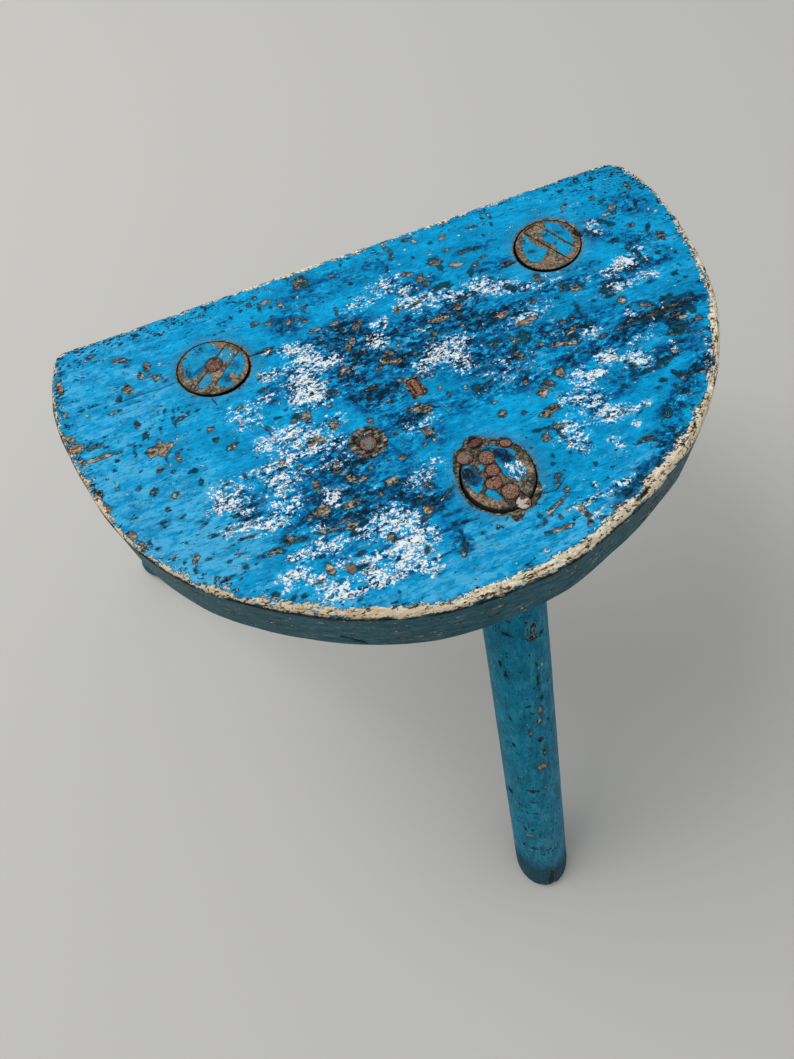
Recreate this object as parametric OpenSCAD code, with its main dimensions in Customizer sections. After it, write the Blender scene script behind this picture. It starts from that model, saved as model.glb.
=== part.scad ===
// Half-moon milking stool: a thick D-shaped plank seat on three splayed dowel
// legs. Each leg passes right through the seat in an angled bore, is split from
// above by a hardwood wedge, sawn flush with the seat and held by nails.
//
// Origin: on the floor, under the middle of the stool. X runs along the seat's
// straight back edge, Y points to the back, Z is up. Millimetres.

/* [Seat] */
// Height of the seat's top face above the floor
stool_height = 285; // [265:1:305]
// Thickness of the seat plank
seat_thickness = 35; // [31:1:40]
// Radius of the seat's curved front edge
seat_radius = 165; // [158:1:175]
// Distance from the centre of that curve back to the straight edge
back_offset = 44; // [40:1:50]
// Rounding of the top edge all round the seat
top_ease = 4; // [2:0.5:6]
// Rounding of the bottom edge all round the seat
bottom_ease = 2.5; // [1:0.5:4]
// Corner radius at the left end of the straight edge, seen from above
left_corner_r = 9; // [7:1:14]
// Corner radius at the right end of the straight edge, seen from above
right_corner_r = 14; // [8:1:18]

/* [Legs] */
// Diameter of each dowel leg
leg_d = 33.5; // [30:0.5:36]
// Lean of each leg away from upright, in degrees
leg_lean = 25.5; // [22:0.5:28]
// Radial clearance of each leg in its bore
bore_clearance = 0.15; // [0.1:0.05:0.3]
// Direction in which the left leg leans, in degrees from +X
left_turn = 143.7; // [138:0.1:150]
// Direction in which the right leg leans, in degrees from +X
right_turn = 36.3; // [30:0.1:42]
// Direction in which the front leg leans, in degrees from +X
front_turn = -98.5; // [-104:0.1:-84]
// How far each sawn-off leg top lies below the seat's top face
tenon_drop = 0.2; // [0.15:0.05:0.5]
// Rounding round the end of each leg
foot_ease = 4; // [2:0.5:6]

/* [Wedges] */
// Thickness of each wedge where it shows on the seat
wedge_t = 8.4; // [7:0.1:9]
// Thickness of each wedge at its buried tip
wedge_tip_t = 2.6; // [2:0.1:4]
// Depth to which each wedge is driven
wedge_depth = 34; // [28:1:38]
// Width of the saw kerf that runs on below each wedge
kerf_t = 2; // [1.5:0.1:2.5]
// Depth of the saw kerf
kerf_depth = 46; // [40:1:52]

/* [Nails] */
// Length of the round nails
nail_length = 30; // [22:1:31]
// Diameter of a round nail's shank
nail_shank_d = 3.2; // [2.6:0.1:3.6]
// Thickness of a round nail's head
nail_head_t = 1.3; // [1:0.1:1.6]
// Depth of a nail head's face below the seat's top face
nail_sink = 0.3; // [0.25:0.05:0.5]
// Clearance round each nail
nail_clearance = 0.05; // [0.03:0.01:0.1]

/* [Hidden] */
$fn = 96;
leg_r = leg_d / 2;
bore_r = leg_r + bore_clearance;

// centre of the seat's curved edge
curve_x = -5;
curve_y = 81;

// point on the seat's top face where each leg's centre line comes out
left_x = -90;
left_y = 81;
right_x = 91.5;
right_y = 83.5;
front_x = 10.5;
front_y = -31.5;

// each wedge: its direction on the seat's top face, and how far it sits to one
// side of the leg's centre line
left_wedge_turn = 43;
left_wedge_shift = -2.2;
right_wedge_turn = -65;
right_wedge_shift = 3.6;
front_wedge_turn = -73.5;
front_wedge_shift = -1.9;

// nails: [x, y, head radius, shank length]
left_nail = [-89.2, 83.1, 4.3, nail_length];
centre_nail_at = [-35.8, 8.3, 3.9, nail_length];
front_nails = [
    [1.0, -17.3, 3.5, nail_length],
    [10.1, -20.9, 3.5, nail_length],
    [9.7, -28.1, 3.1, nail_length],
    [7.3, -34.8, 3.5, nail_length],
    [12.0, -41.2, 4.0, nail_length],
    [14.9, -48.6, 3.5, nail_length],
    [8.3, -11.7, 3.3, nail_length],
    [20.6, -17.5, 2.6, nail_length]
];

// flat cut nail: centre of the head, head size, direction of its long side
cut_nail_at = [-4.6, 28.3];
cut_head = [10, 5];
cut_turn = -84;

// empty nail hole at the edge of the right leg's top
lost_nail_at = [109.2, 84.6];

paint = [0.03, 0.42, 0.68];
leg_paint = [0.06, 0.36, 0.48];
bare_wood = [0.45, 0.38, 0.29];
rust = [0.42, 0.22, 0.15];

// ---------------------------------------------------------------- placing

// from a leg's own frame (its centre line on Z, 0 at the seat's top face)
// to where the leg stands
module at_leg(x, y, turn) {
    translate([x, y, stool_height]) rotate([0, -leg_lean, turn]) children();
}

// turn about a leg's own centre line that makes a plane through that line show
// on the seat's top face in the direction `along`
function own_turn(along, turn) =
    atan2(sin(along - turn) / cos(leg_lean), cos(along - turn));

// ------------------------------------------------------------------- seat

// half of an upright section through a round slab of radius r, eased top and
// bottom
module slab_section(r) {
    t = seat_thickness;
    difference() {
        square([r, t]);
        difference() {
            translate([r - top_ease, t - top_ease]) square(top_ease + 1);
            translate([r - top_ease, t - top_ease]) circle(top_ease);
        }
        difference() {
            translate([r - bottom_ease, -1]) square([bottom_ease + 1, bottom_ease + 1]);
            translate([r - bottom_ease, bottom_ease]) circle(bottom_ease);
        }
    }
}

// what a rounded corner takes away, side = -1 for left and 1 for right; the
// corner's centre sits a touch proud, so its surfaces cross the seat's edges
// at a small angle and don't just graze them
module corner_waste(side, rc) {
    proud = 0.3;
    cy = back_offset - rc;
    cx = side * sqrt(pow(seat_radius - rc, 2) - pow(cy, 2));
    u = [cx, cy] / (seat_radius - rc);
    out = (u + [0, 1]) / norm(u + [0, 1]);
    c = [cx, cy] + out * proud;
    l = 3 * rc;
    difference() {
        translate([0, 0, -1]) linear_extrude(seat_thickness + 2)
            polygon([c, c + [0, l], c + [side * l, l], c + u * l * 1.2]);
        translate([c[0], c[1], 0]) rotate_extrude() slab_section(rc);
    }
}

module seat_board() {
    difference() {
        intersection() {
            rotate_extrude() slab_section(seat_radius);
            translate([-seat_radius - 5, back_offset, 0]) rotate([90, 0, 90])
                linear_extrude(2 * seat_radius + 10)
                translate([-2 * seat_radius, 0]) slab_section(2 * seat_radius);
        }
        corner_waste(-1, left_corner_r);
        corner_waste(1, right_corner_r);
    }
}

module leg_bore(x, y, turn) {
    at_leg(x, y, turn) translate([0, 0, -80]) cylinder(h = 100, r = bore_r);
}

module seat_plank() {
    color(paint) difference() {
        translate([curve_x, curve_y, stool_height - seat_thickness]) seat_board();
        leg_bore(left_x, left_y, left_turn);
        leg_bore(right_x, right_y, right_turn);
        leg_bore(front_x, front_y, front_turn);
        // shallow bruise round the nail in the middle of the seat
        translate([centre_nail_at[0], centre_nail_at[1], stool_height - 0.8])
            cylinder(h = 2, r1 = 6.4, r2 = 8.4);
        nail_pocket(centre_nail_at);
        cut_nail_pocket();
        nail_pocket(left_nail);
        for (n = front_nails) nail_pocket(n);
        translate([lost_nail_at[0], lost_nail_at[1], stool_height - 14]) cylinder(h = 20, r = 1.8);
    }
}

// ------------------------------------------------------------------- legs

// whole leg in its own frame, before it is sawn off level at both ends
module leg_dowel() {
    low = -stool_height / cos(leg_lean) - leg_r * tan(leg_lean);
    translate([0, 0, low]) rotate_extrude() difference() {
        square([leg_r, -low + 12]);
        difference() {
            translate([leg_r - foot_ease, -1]) square([foot_ease + 1, foot_ease + 1]);
            translate([leg_r - foot_ease, foot_ease]) circle(foot_ease);
        }
    }
}

// everything between the floor and the height z
module below(z) {
    translate([-300, -300, 0]) cube([600, 600, z]);
}

// section of a wedge, thick at the top, grown by `extra` on every side
module wedge_section(shift, extra) {
    slope = (wedge_t - wedge_tip_t) / 2 / wedge_depth;
    up = 12;
    half_top = wedge_t / 2 + slope * up + extra;
    half_tip = wedge_tip_t / 2 + extra;
    polygon([
        [shift - half_top, up], [shift + half_top, up],
        [shift + half_tip, -wedge_depth - extra], [shift - half_tip, -wedge_depth - extra]
    ]);
}

// bar with that section, right across the leg
module wedge_bar(along, turn, shift, extra) {
    rotate([0, 0, own_turn(along, turn)]) translate([-leg_r - 2, 0, 0])
        rotate([90, 0, 90]) linear_extrude(leg_d + 4) wedge_section(shift, extra);
}

// saw kerf below a wedge
module kerf(along, turn, shift) {
    rotate([0, 0, own_turn(along, turn)])
        translate([-leg_r - 2, shift - kerf_t / 2, -kerf_depth]) cube([leg_d + 4, kerf_t, kerf_depth]);
}

module leg(x, y, turn, wedge_along, wedge_shift) {
    intersection() {
        at_leg(x, y, turn) difference() {
            leg_dowel();
            wedge_bar(wedge_along, turn, wedge_shift, 0.05);
            kerf(wedge_along, turn, wedge_shift);
        }
        below(stool_height - tenon_drop);
    }
}

module left_leg() {
    color(leg_paint) difference() {
        leg(left_x, left_y, left_turn, left_wedge_turn, left_wedge_shift);
        nail_pocket(left_nail);
    }
}

module right_leg() {
    color(leg_paint) difference() {
        leg(right_x, right_y, right_turn, right_wedge_turn, right_wedge_shift);
        translate([lost_nail_at[0], lost_nail_at[1], stool_height - 14]) cylinder(h = 20, r = 1.8);
    }
}

module front_leg() {
    color(leg_paint) difference() {
        leg(front_x, front_y, front_turn, front_wedge_turn, front_wedge_shift);
        for (n = front_nails) nail_pocket(n);
    }
}

// ----------------------------------------------------------------- wedges

module wedge(x, y, turn, along, shift) {
    intersection() {
        at_leg(x, y, turn) intersection() {
            wedge_bar(along, turn, shift, 0);
            translate([0, 0, -60]) cylinder(h = 80, r = leg_r - 0.05);
        }
        below(stool_height - tenon_drop);
    }
}

module left_wedge() {
    color(bare_wood) difference() {
        wedge(left_x, left_y, left_turn, left_wedge_turn, left_wedge_shift);
        nail_pocket(left_nail);
    }
}

module right_wedge() {
    color(bare_wood)
        wedge(right_x, right_y, right_turn, right_wedge_turn, right_wedge_shift);
}

module front_wedge() {
    color(bare_wood) difference() {
        wedge(front_x, front_y, front_turn, front_wedge_turn, front_wedge_shift);
        for (n = front_nails) nail_pocket(n);
    }
}

// ------------------------------------------------------------------ nails

// half section of a round nail with its face at 0, grown by `extra`
module nail_section(head_r, l, extra, up) {
    r = nail_shank_d / 2 + extra;
    h = head_r + extra;
    polygon([
        [0, up], [h - (up > 0 ? 0 : 0.6), up], [h, up > 0 ? 0 : -0.4],
        [h, -nail_head_t - extra], [r, -nail_head_t - extra],
        [r, -l + 4], [0, -l - extra]
    ]);
}

module round_nail(n) {
    color(rust) translate([n[0], n[1], stool_height - nail_sink])
        rotate_extrude() nail_section(n[2], n[3], 0, 0);
}

module nail_pocket(n) {
    translate([n[0], n[1], stool_height - nail_sink])
        rotate_extrude() nail_section(n[2], n[3], nail_clearance, 3);
}

module left_tenon_nail() { round_nail(left_nail); }
module centre_seat_nail() { round_nail(centre_nail_at); }

// flat nail cut from plate: an oblong head on a shank that tapers one way
module cut_nail_body(extra, up) {
    l = nail_length;
    translate([cut_nail_at[0], cut_nail_at[1], stool_height - nail_sink])
        rotate([0, 0, cut_turn]) {
            translate([-cut_head[0] / 2 - extra, -cut_head[1] / 2 - extra, -1.5 - extra])
                cube([cut_head[0] + 2 * extra, cut_head[1] + 2 * extra, 1.5 + extra + up]);
            translate([0, 1.5 + extra, 0]) rotate([90, 0, 0])
                linear_extrude(3 + 2 * extra) polygon([
                    [-3 - extra, -1], [3 + extra, -1],
                    [1.2 + extra, -l - extra], [-1.2 - extra, -l - extra]
                ]);
        }
}

module cut_seat_nail() {
    color(rust) difference() {
        cut_nail_body(0, 0);
        // slot left where the head has split along one side
        translate([cut_nail_at[0], cut_nail_at[1], stool_height - nail_sink])
            rotate([0, 0, cut_turn]) translate([-4.2, -1.7, -0.7]) cube([8.4, 0.7, 2]);
    }
}

module cut_nail_pocket() { cut_nail_body(nail_clearance, 3); }

// ------------------------------------------------------------------ model

seat_plank();
left_leg();
right_leg();
front_leg();
left_wedge();
right_wedge();
front_wedge();
left_tenon_nail();
round_nail(front_nails[0]);  // front_tenon_nail_1
round_nail(front_nails[1]);  // front_tenon_nail_2
round_nail(front_nails[2]);  // front_tenon_nail_3
round_nail(front_nails[3]);  // front_tenon_nail_4
round_nail(front_nails[4]);  // front_tenon_nail_5
round_nail(front_nails[5]);  // front_tenon_nail_6
round_nail(front_nails[6]);  // front_tenon_nail_7
round_nail(front_nails[7]);  // front_tenon_nail_8
centre_seat_nail();
cut_seat_nail();
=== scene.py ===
import math

import bpy
import numpy as np
from mathutils import Matrix, Vector
from mathutils.geometry import delaunay_2d_cdt
from mathutils.kdtree import KDTree


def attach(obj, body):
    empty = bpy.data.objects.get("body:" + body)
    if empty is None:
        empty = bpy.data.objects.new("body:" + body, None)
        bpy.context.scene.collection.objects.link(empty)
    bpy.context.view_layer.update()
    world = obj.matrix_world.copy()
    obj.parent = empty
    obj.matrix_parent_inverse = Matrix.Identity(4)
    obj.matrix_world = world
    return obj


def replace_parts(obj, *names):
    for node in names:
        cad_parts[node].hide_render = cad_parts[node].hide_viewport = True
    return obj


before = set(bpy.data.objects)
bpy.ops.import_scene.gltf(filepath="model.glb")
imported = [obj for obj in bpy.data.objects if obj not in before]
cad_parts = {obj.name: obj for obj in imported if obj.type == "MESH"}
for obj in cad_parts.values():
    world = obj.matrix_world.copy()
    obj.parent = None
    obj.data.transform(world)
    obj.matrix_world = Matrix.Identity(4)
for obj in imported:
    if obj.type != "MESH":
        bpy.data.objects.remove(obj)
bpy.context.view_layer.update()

# ---------------------------------------------------------------- sizes in mm, row frame
H, T = 285.0, 35.0                      # seat top height, plank thickness
CX, CY, R = -5.0, 81.0, 165.0           # centre and radius of the curved edge
BACK = 125.0                            # y of the straight back edge
RL, RR = 9.0, 14.0                      # rounding of the left and right corners
LEAN = math.radians(25.5)
TAN = math.tan(LEAN)
LEG_R, BORE_R = 16.75, 16.9
LEGS = {
    "left": dict(c=(-90.0, 81.0), turn=143.7, wedge=43.0, shift=-2.2, gap_at=-84, gap=0.88, seed=11),
    "right": dict(c=(91.5, 83.5), turn=36.3, wedge=-65.0, shift=3.6, gap_at=-135, gap=0.85, seed=12),
    "front": dict(c=(10.5, -31.5), turn=-98.5, wedge=-73.5, shift=-1.9, gap_at=-130, gap=1.15, seed=13),
}
FACE = H - 0.12                         # mean level of the worn top face
MM = 0.001


# ---------------------------------------------------------------- noise on arrays
def lattice(ix, iy, seed):
    h = ix.astype(np.int64).astype(np.uint32) * np.uint32(374761393)
    h = h + iy.astype(np.int64).astype(np.uint32) * np.uint32(668265263) + np.uint32((seed * 2654435761) & 0xFFFFFFFF)
    h = (h ^ (h >> np.uint32(13))) * np.uint32(1274126177)
    h = h ^ (h >> np.uint32(16))
    return h.astype(np.float64) / 4294967295.0


def vnoise(x, y, seed=0):
    x, y = np.asarray(x, float), np.asarray(y, float)
    ix, iy = np.floor(x), np.floor(y)
    fx, fy = x - ix, y - iy
    fx, fy = fx * fx * (3 - 2 * fx), fy * fy * (3 - 2 * fy)
    a, b = lattice(ix, iy, seed), lattice(ix + 1, iy, seed)
    c, d = lattice(ix, iy + 1, seed), lattice(ix + 1, iy + 1, seed)
    return (a * (1 - fx) + b * fx) * (1 - fy) + (c * (1 - fx) + d * fx) * fy


def fbm(x, y, seed=0, octaves=4, gain=0.5):
    s, amp, tot = 0.0, 1.0, 0.0
    for o in range(octaves):
        s = s + amp * vnoise(np.asarray(x) * 2 ** o + 17.3 * o, np.asarray(y) * 2 ** o - 9.1 * o, seed + 31 * o)
        tot += amp
        amp *= gain
    return s / tot


def smooth(lo, hi, v):
    t = np.clip((np.asarray(v, float) - lo) / (hi - lo), 0, 1)
    return t * t * (3 - 2 * t)


# ---------------------------------------------------------------- mesh building
class Build:
    """Collects points and faces in mm, then makes one mesh object in metres."""

    def __init__(self):
        self.pts, self.faces, self.n = [], [], 0

    def add(self, p):
        p = np.asarray(p, float).reshape(-1, 3)
        i = np.arange(self.n, self.n + len(p))
        self.pts.append(p)
        self.n += len(p)
        return i

    def strip(self, a, b, flip=False):
        """Quads between two closed rings of the same count."""
        a2, b2 = np.roll(a, -1), np.roll(b, -1)
        q = np.stack([a, a2, b2, b] if not flip else [a, b, b2, a2], 1)
        self.faces += q.tolist()

    def tris(self, t, flip=False):
        t = np.asarray(t)
        if len(t):
            self.faces += (t[:, ::-1] if flip else t).tolist()

    def fan(self, ring, centre, flip=False):
        r2 = np.roll(ring, -1)
        c = np.full(len(ring), centre)
        self.faces += (np.stack([ring, c, r2] if flip else [ring, r2, c], 1)).tolist()

    def make(self, name, attrs=None, material=None, sharp=None):
        co = np.concatenate(self.pts)
        me = bpy.data.meshes.new(name)
        me.from_pydata((co * MM).tolist(), [], self.faces)
        me.polygons.foreach_set("use_smooth", np.ones(len(me.polygons), bool))
        for k, v in (attrs or {}).items():
            at = me.attributes.new(k, "FLOAT", "POINT")
            at.data.foreach_set("value", np.ascontiguousarray(v, np.float32))
        me.update()
        ob = bpy.data.objects.new(name, me)
        bpy.context.scene.collection.objects.link(ob)
        if material:
            me.materials.append(material)
        return ob


def cdt(points, loops):
    """Triangles of a flat area: loops are lists of indices into points, the first one is the outside."""
    edges = []
    for lp in loops:
        edges += [(int(lp[i]), int(lp[(i + 1) % len(lp)])) for i in range(len(lp))]
    v, _, f, _, _, _ = delaunay_2d_cdt([Vector((float(a), float(b))) for a, b in points], edges, [], 0, 1e-6, False)
    if len(v) != len(points):
        raise RuntimeError("flat area: points merged or added")
    v = np.array([(a[0], a[1]) for a in v])
    tri = np.array([t for t in f if len(t) == 3])
    cen = v[tri].mean(1)
    keep = inside(cen, v[loops[0]])
    for lp in loops[1:]:
        keep &= ~inside(cen, v[lp])
    tri, p = tri[keep], v
    area = np.cross(p[tri[:, 1]] - p[tri[:, 0]], p[tri[:, 2]] - p[tri[:, 0]])
    tri[area < 0] = tri[area < 0][:, ::-1]
    return tri


def inside(q, poly):
    """Even-odd test of many points against one polygon."""
    q, poly = np.asarray(q, float), np.asarray(poly, float)
    r = np.zeros(len(q), bool)
    lo, hi = poly.min(0), poly.max(0)
    c = np.where(((q >= lo) & (q <= hi)).all(1))[0]
    x, y = q[c, 0], q[c, 1]
    w = np.zeros(len(c), bool)
    for (x1, y1), (x2, y2) in zip(poly, np.roll(poly, -1, 0)):
        if y1 == y2:
            continue
        w ^= ((y1 > y) != (y2 > y)) & (x < (x2 - x1) * (y - y1) / (y2 - y1) + x1)
    r[c] = w
    return r


def seg_dist(x, y, pts):
    """Distance in mm to an open line of points, and how far along it the nearest place is, 0 to 1."""
    best, at = np.full(np.shape(x), 1e9), np.zeros(np.shape(x))
    pts = np.asarray(pts, float)
    ln = np.hypot(*(pts[1:] - pts[:-1]).T)
    cum = np.concatenate([[0], np.cumsum(ln)])
    for k in range(len(pts) - 1):
        (x1, y1), (x2, y2) = pts[k], pts[k + 1]
        dx, dy = x2 - x1, y2 - y1
        t = np.clip(((x - x1) * dx + (y - y1) * dy) / (dx * dx + dy * dy), 0, 1)
        d = np.hypot(x - x1 - t * dx, y - y1 - t * dy)
        m = d < best
        best = np.where(m, d, best)
        at = np.where(m, (cum[k] + t * ln[k]) / cum[-1], at)
    return best, at


def poly_sd(x, y, pts):
    """Signed distance in mm to a closed outline, positive inside."""
    pts = np.asarray(pts, float)
    d, _ = seg_dist(x, y, np.vstack([pts, pts[:1]]))
    i = inside(np.stack([np.ravel(x), np.ravel(y)], 1), pts).reshape(np.shape(x))
    return np.where(i, d, -d)


# ---------------------------------------------------------------- outline of the seat
LC = (CX - math.sqrt((R - RL) ** 2 - (BACK - RL - CY) ** 2), BACK - RL)
RC = (CX + math.sqrt((R - RR) ** 2 - (BACK - RR - CY) ** 2), BACK - RR)
A_L = math.degrees(math.atan2(LC[1] - CY, LC[0] - CX))
A_R = math.degrees(math.atan2(RC[1] - CY, RC[0] - CX))
# hand-sawn edge: how far it strays from the true curve, by angle round the centre, and along the back by x
WOB_A = [(-192.9, 0.0), (-186, 0.7), (-183, 1.0), (-178, 0.1), (-173, -1.2), (-165, -1.7), (-158, -0.4), (-150, 0.4),
         (-139, 0.6), (-131, -0.6), (-122, -1.2), (-112, -0.6), (-102, 0.2), (-90, -0.6), (-80, -0.3), (-71, -1.8),
         (-66, -1.3), (-58, -0.6), (-53, 1.0), (-44, 1.5), (-30, 1.8), (-20, 1.8), (-9, 0.2), (0, 0.5), (6, 0.8), (11.4, 0.0)]
WOB_X = [(-157, 0.0), (-140, -0.6), (-110, -0.3), (-60, 0.3), (-20, 0.5), (30, 0.2), (80, 0.5), (120, 0.3), (143, 0.0)]
# width of the worn round at the top edge, by the same angle
ARRIS_A = [(-193, 3.4), (-185, 3.8), (-175, 3.2), (-165, 2.6), (-150, 2.8), (-140, 3.6), (-125, 4.4), (-105, 4.8), (-90, 4.8),
           (-75, 5.0), (-60, 5.2), (-45, 5.0), (-30, 4.4), (-15, 3.6), (0, 3.0), (11.5, 3.0)]
ARRIS_BACK = 1.9


def tab(table, v):
    t = np.array(table)
    return np.interp(v, t[:, 0], t[:, 1])


def unwrap(th):
    return np.where(th > 40, th - 360, th)


def edge_field(x, y):
    """Distance in from the outline, and the width of the worn round there, in mm."""
    x, y = np.asarray(x, float), np.asarray(y, float)
    th = unwrap(np.degrees(np.arctan2(y - CY, x - CX)))
    rho = np.hypot(x - CX, y - CY)
    da = R + tab(WOB_A, th) - rho
    dc = BACK + tab(WOB_X, x) - y
    d = np.minimum(da, dc)
    for (cx, cy), rc, lo, hi in ((LC, RL, 90.0, A_L), (RC, RR, A_R, 90.0)):
        a = np.degrees(np.arctan2(y - cy, x - cx))
        m = (a > lo) & (a < hi)
        d = np.where(m, rc - np.hypot(x - cx, y - cy), d)
    back = smooth(-7, 7, da - dc)
    w = tab(ARRIS_A, th) * (1 - back) + ARRIS_BACK * back
    w = w * (0.78 + 0.44 * fbm(x / 9.0, y / 9.0, 5, 3))
    return d, w, back


def edge_run(x, y):
    """Position along the outline in mm: round the curve, or along the straight back."""
    _, _, back = edge_field(x, y)
    th = unwrap(np.degrees(np.arctan2(y - CY, x - CX)))
    return np.where(back > 0.5, 900 + x, 2.88 * th)


def seat_outline(step):
    p, n = [], []
    m = int((RC[0] - LC[0]) / step)
    for i in range(m):
        x = RC[0] + (LC[0] - RC[0]) * i / m
        p.append((x, BACK + float(tab(WOB_X, x))))
        n.append((0.0, 1.0))
    for (cx, cy), rr, a0, a1 in ((LC, RL, 90.0, A_L), ((CX, CY), R, A_L, 360 + A_R), (RC, RR, A_R, 90.0)):
        m = max(6, int(math.radians(a1 - a0) * rr / step))
        for i in range(m):
            a = a0 + (a1 - a0) * i / m
            r2 = rr + (float(tab(WOB_A, a - 360)) if rr == R else 0.0)
            ca, sa = math.cos(math.radians(a)), math.sin(math.radians(a))
            p.append((cx + r2 * ca, cy + r2 * sa))
            n.append((ca, sa))
    return np.array(p), np.array(n)


def ellipse(c, turn, r, n, grow=0.0, level=0.0, scale=None):
    """Level section of an inclined leg or bore: n points, at a depth below the seat top."""
    t = math.radians(turn)
    ph = np.arange(n) * 2 * math.pi / n
    rr = r + grow if scale is None else r * scale + grow
    u, v = rr / math.cos(LEAN) * np.cos(ph), rr * np.sin(ph)
    x = c[0] + level * TAN * math.cos(t) + u * math.cos(t) - v * math.sin(t)
    y = c[1] + level * TAN * math.sin(t) + u * math.sin(t) + v * math.cos(t)
    return np.stack([x, y], 1)


def ell_r(x, y, c, turn, r):
    """Distance in mm from an inclined leg's section at the seat top, positive outside."""
    t = math.radians(turn)
    u = ((x - c[0]) * math.cos(t) + (y - c[1]) * math.sin(t)) * math.cos(LEAN)
    v = -(x - c[0]) * math.sin(t) + (y - c[1]) * math.cos(t)
    return np.hypot(u, v) - r


def round_angle(x, y, c, at):
    """How near the direction from c is to the angle at: 1 on it, 0 opposite."""
    a = np.arctan2(y - c[1], x - c[0]) - math.radians(at)
    return 0.5 + 0.5 * np.cos(a)


# ---------------------------------------------------------------- wear marks on the seat top
# soft areas: x, y, half length, half width, angle, strength
WHITE = [
    (-60, 78, 6, 2.2, -15, 0.85), (-49, 74, 8, 5, -20, 0.80), (-44, 68, 6, 6, 0, 0.65), (-66, 65, 7, 4, 0, 0.66), (-50, 62, 11, 9, 0, 0.68),
    (-53, 50, 10, 10, 20, 0.86), (-48, 42, 9, 6, -20, 0.72), (-58, 42, 6, 5, 0, 0.62), (-38, 60, 8, 4, 0, 0.82), (-30, 61, 5, 3, 0, 0.70),
    (-83, 46, 8, 9, 30, 0.64), (-72, 52, 5, 3, 0, 0.62), (-72, 29, 9, 5, 0, 0.74), (-63, 22, 14, 8, 10, 0.74), (-80, 26, 5, 5, 0, 0.70),
    (-52, 14, 12, 6, 0, 0.64), (-80, 14, 16, 3.5, 3, 0.74), (-46, 26, 6, 4, 0, 0.60), (-103, 8, 10, 8, 0, 0.70), (-78, 5, 12, 7, 0, 0.66),
    (-108, 3, 8, 4, 10, 0.72), (-105, -10, 7, 4, 0, 0.68), (-88, -14, 13, 5, -5, 0.74), (-80, -8, 9, 5, 0, 0.68), (-98, -3, 7, 3, 0, 0.62),
    (-60, -12, 5, 5, 0, 0.88), (-53, 3, 8, 4, 0, 0.55), (-70, -24, 6, 2, 10, 0.66),
    (-80, -34, 9, 4, 0, 0.84), (-70, -35, 8, 5, 5, 0.74), (-44, -34, 12, 7, 15, 0.84), (-55, -34, 5, 3, 0, 0.62), (-33, -42, 6, 10, 10, 0.86),
    (-87, -42, 8, 4, 5, 0.84), (-80, -46, 6, 3, -20, 0.74), (-68, -44, 5, 3, 0, 0.74), (-50, -47, 14, 2.6, 0, 0.80), (-40, -46, 10, 4, 0, 0.70),
    (-27, -47, 4, 6, 0, 0.66), (-73, -54, 8, 4, 0, 0.90), (-68, -59, 14, 2.2, -6, 0.88), (-57, -54, 5, 7, 10, 0.80), (-46, -54, 5, 5, -40, 0.74),
    (-51, -60, 8, 3, 0, 0.84), (-38, -54, 7, 4, 10, 0.80), (-36, -59, 9, 3, 0, 0.90), (-32, -64, 4, 2, 0, 0.88), (-92, -47, 4, 2, 0, 0.66),
    (6, 95, 10, 7, 20, 0.64), (-12, 88, 9, 5, 0, 0.62), (14, 86, 8, 4, 0, 0.70), (22, 76, 13, 6, 0, 0.84), (34, 72, 7, 5, 0, 0.64),
    (10, 79, 7, 4, 0, 0.70), (-12, 62, 6, 6, 20, 0.92), (-5, 72, 5, 4, 0, 0.70), (48, 73, 10, 6, -10, 0.70), (60, 67, 11, 6, -20, 0.72),
    (69, 62, 5, 3, 0, 0.66), (14, 42, 11, 7, 0, 0.80), (21, 33, 6, 8, 0, 0.78), (27, 44, 6, 5, 0, 0.62), (4, 38, 5, 4, 0, 0.66),
    (118, 84, 4, 7, 0, 0.72), (121, 55, 8, 5, 0, 0.93), (111, 53, 6, 4, 0, 0.68), (110, 43, 8, 4, 0, 0.84), (126, 43, 9, 3.5, 0, 0.68),
    (130, 60, 5, 4, 0, 0.60), (84, 6, 6, 5, -20, 0.95), (68, 0, 6, 7, 0, 0.80), (76, -1, 6, 3, 0, 0.84), (96, 0, 8, 6, 0, 0.74),
    (66, -14, 8, 8, 0, 0.76), (70, -24, 9, 5, 0, 0.66), (50, -24, 8, 7, 20, 0.72), (51, -34, 5, 4, 0, 0.76), (79, -25, 5, 3, 0, 0.66),
    (57, -8, 7, 5, 0, 0.66), (64, -36, 3, 2, 0, 0.72), (66, -40, 2, 2, 0, 0.92), (46, -53, 2, 2, 0, 1.0), (44, -59, 12, 2.0, 6, 0.74), (57, -57, 7, 2.4, 10, 0.64),
    (78, -33, 2.2, 1.6, 0, 0.96), (87, -25, 3, 2, 0, 0.84), (85, 23, 8, 4, 0, 0.66), (73, 28, 6, 3, 0, 0.50), (107, 25, 3, 3, 0, 0.80), (103, 9, 6, 2, 0, 0.66),
    (98, -8, 2, 2, 0, 0.9), (127, -12, 3, 3, 0, 0.80), (130, -4, 3, 5, 0, 0.60), (114, -2, 2, 5, 0, 0.60), (46, -31, 3, 2, 0, 0.80),
    (36, -62, 2.2, 4.5, 0, 0.80), (42, -68, 4, 5, 0, 0.55), (60, 45, 16, 6, 10, 0.42), (-10, 8, 9, 5, 0, 0.45), (-20, -18, 12, 6, 30, 0.48), (40, 20, 12, 7, 0, 0.42), (80, 62, 9, 4, 0, 0.45),
]
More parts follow.
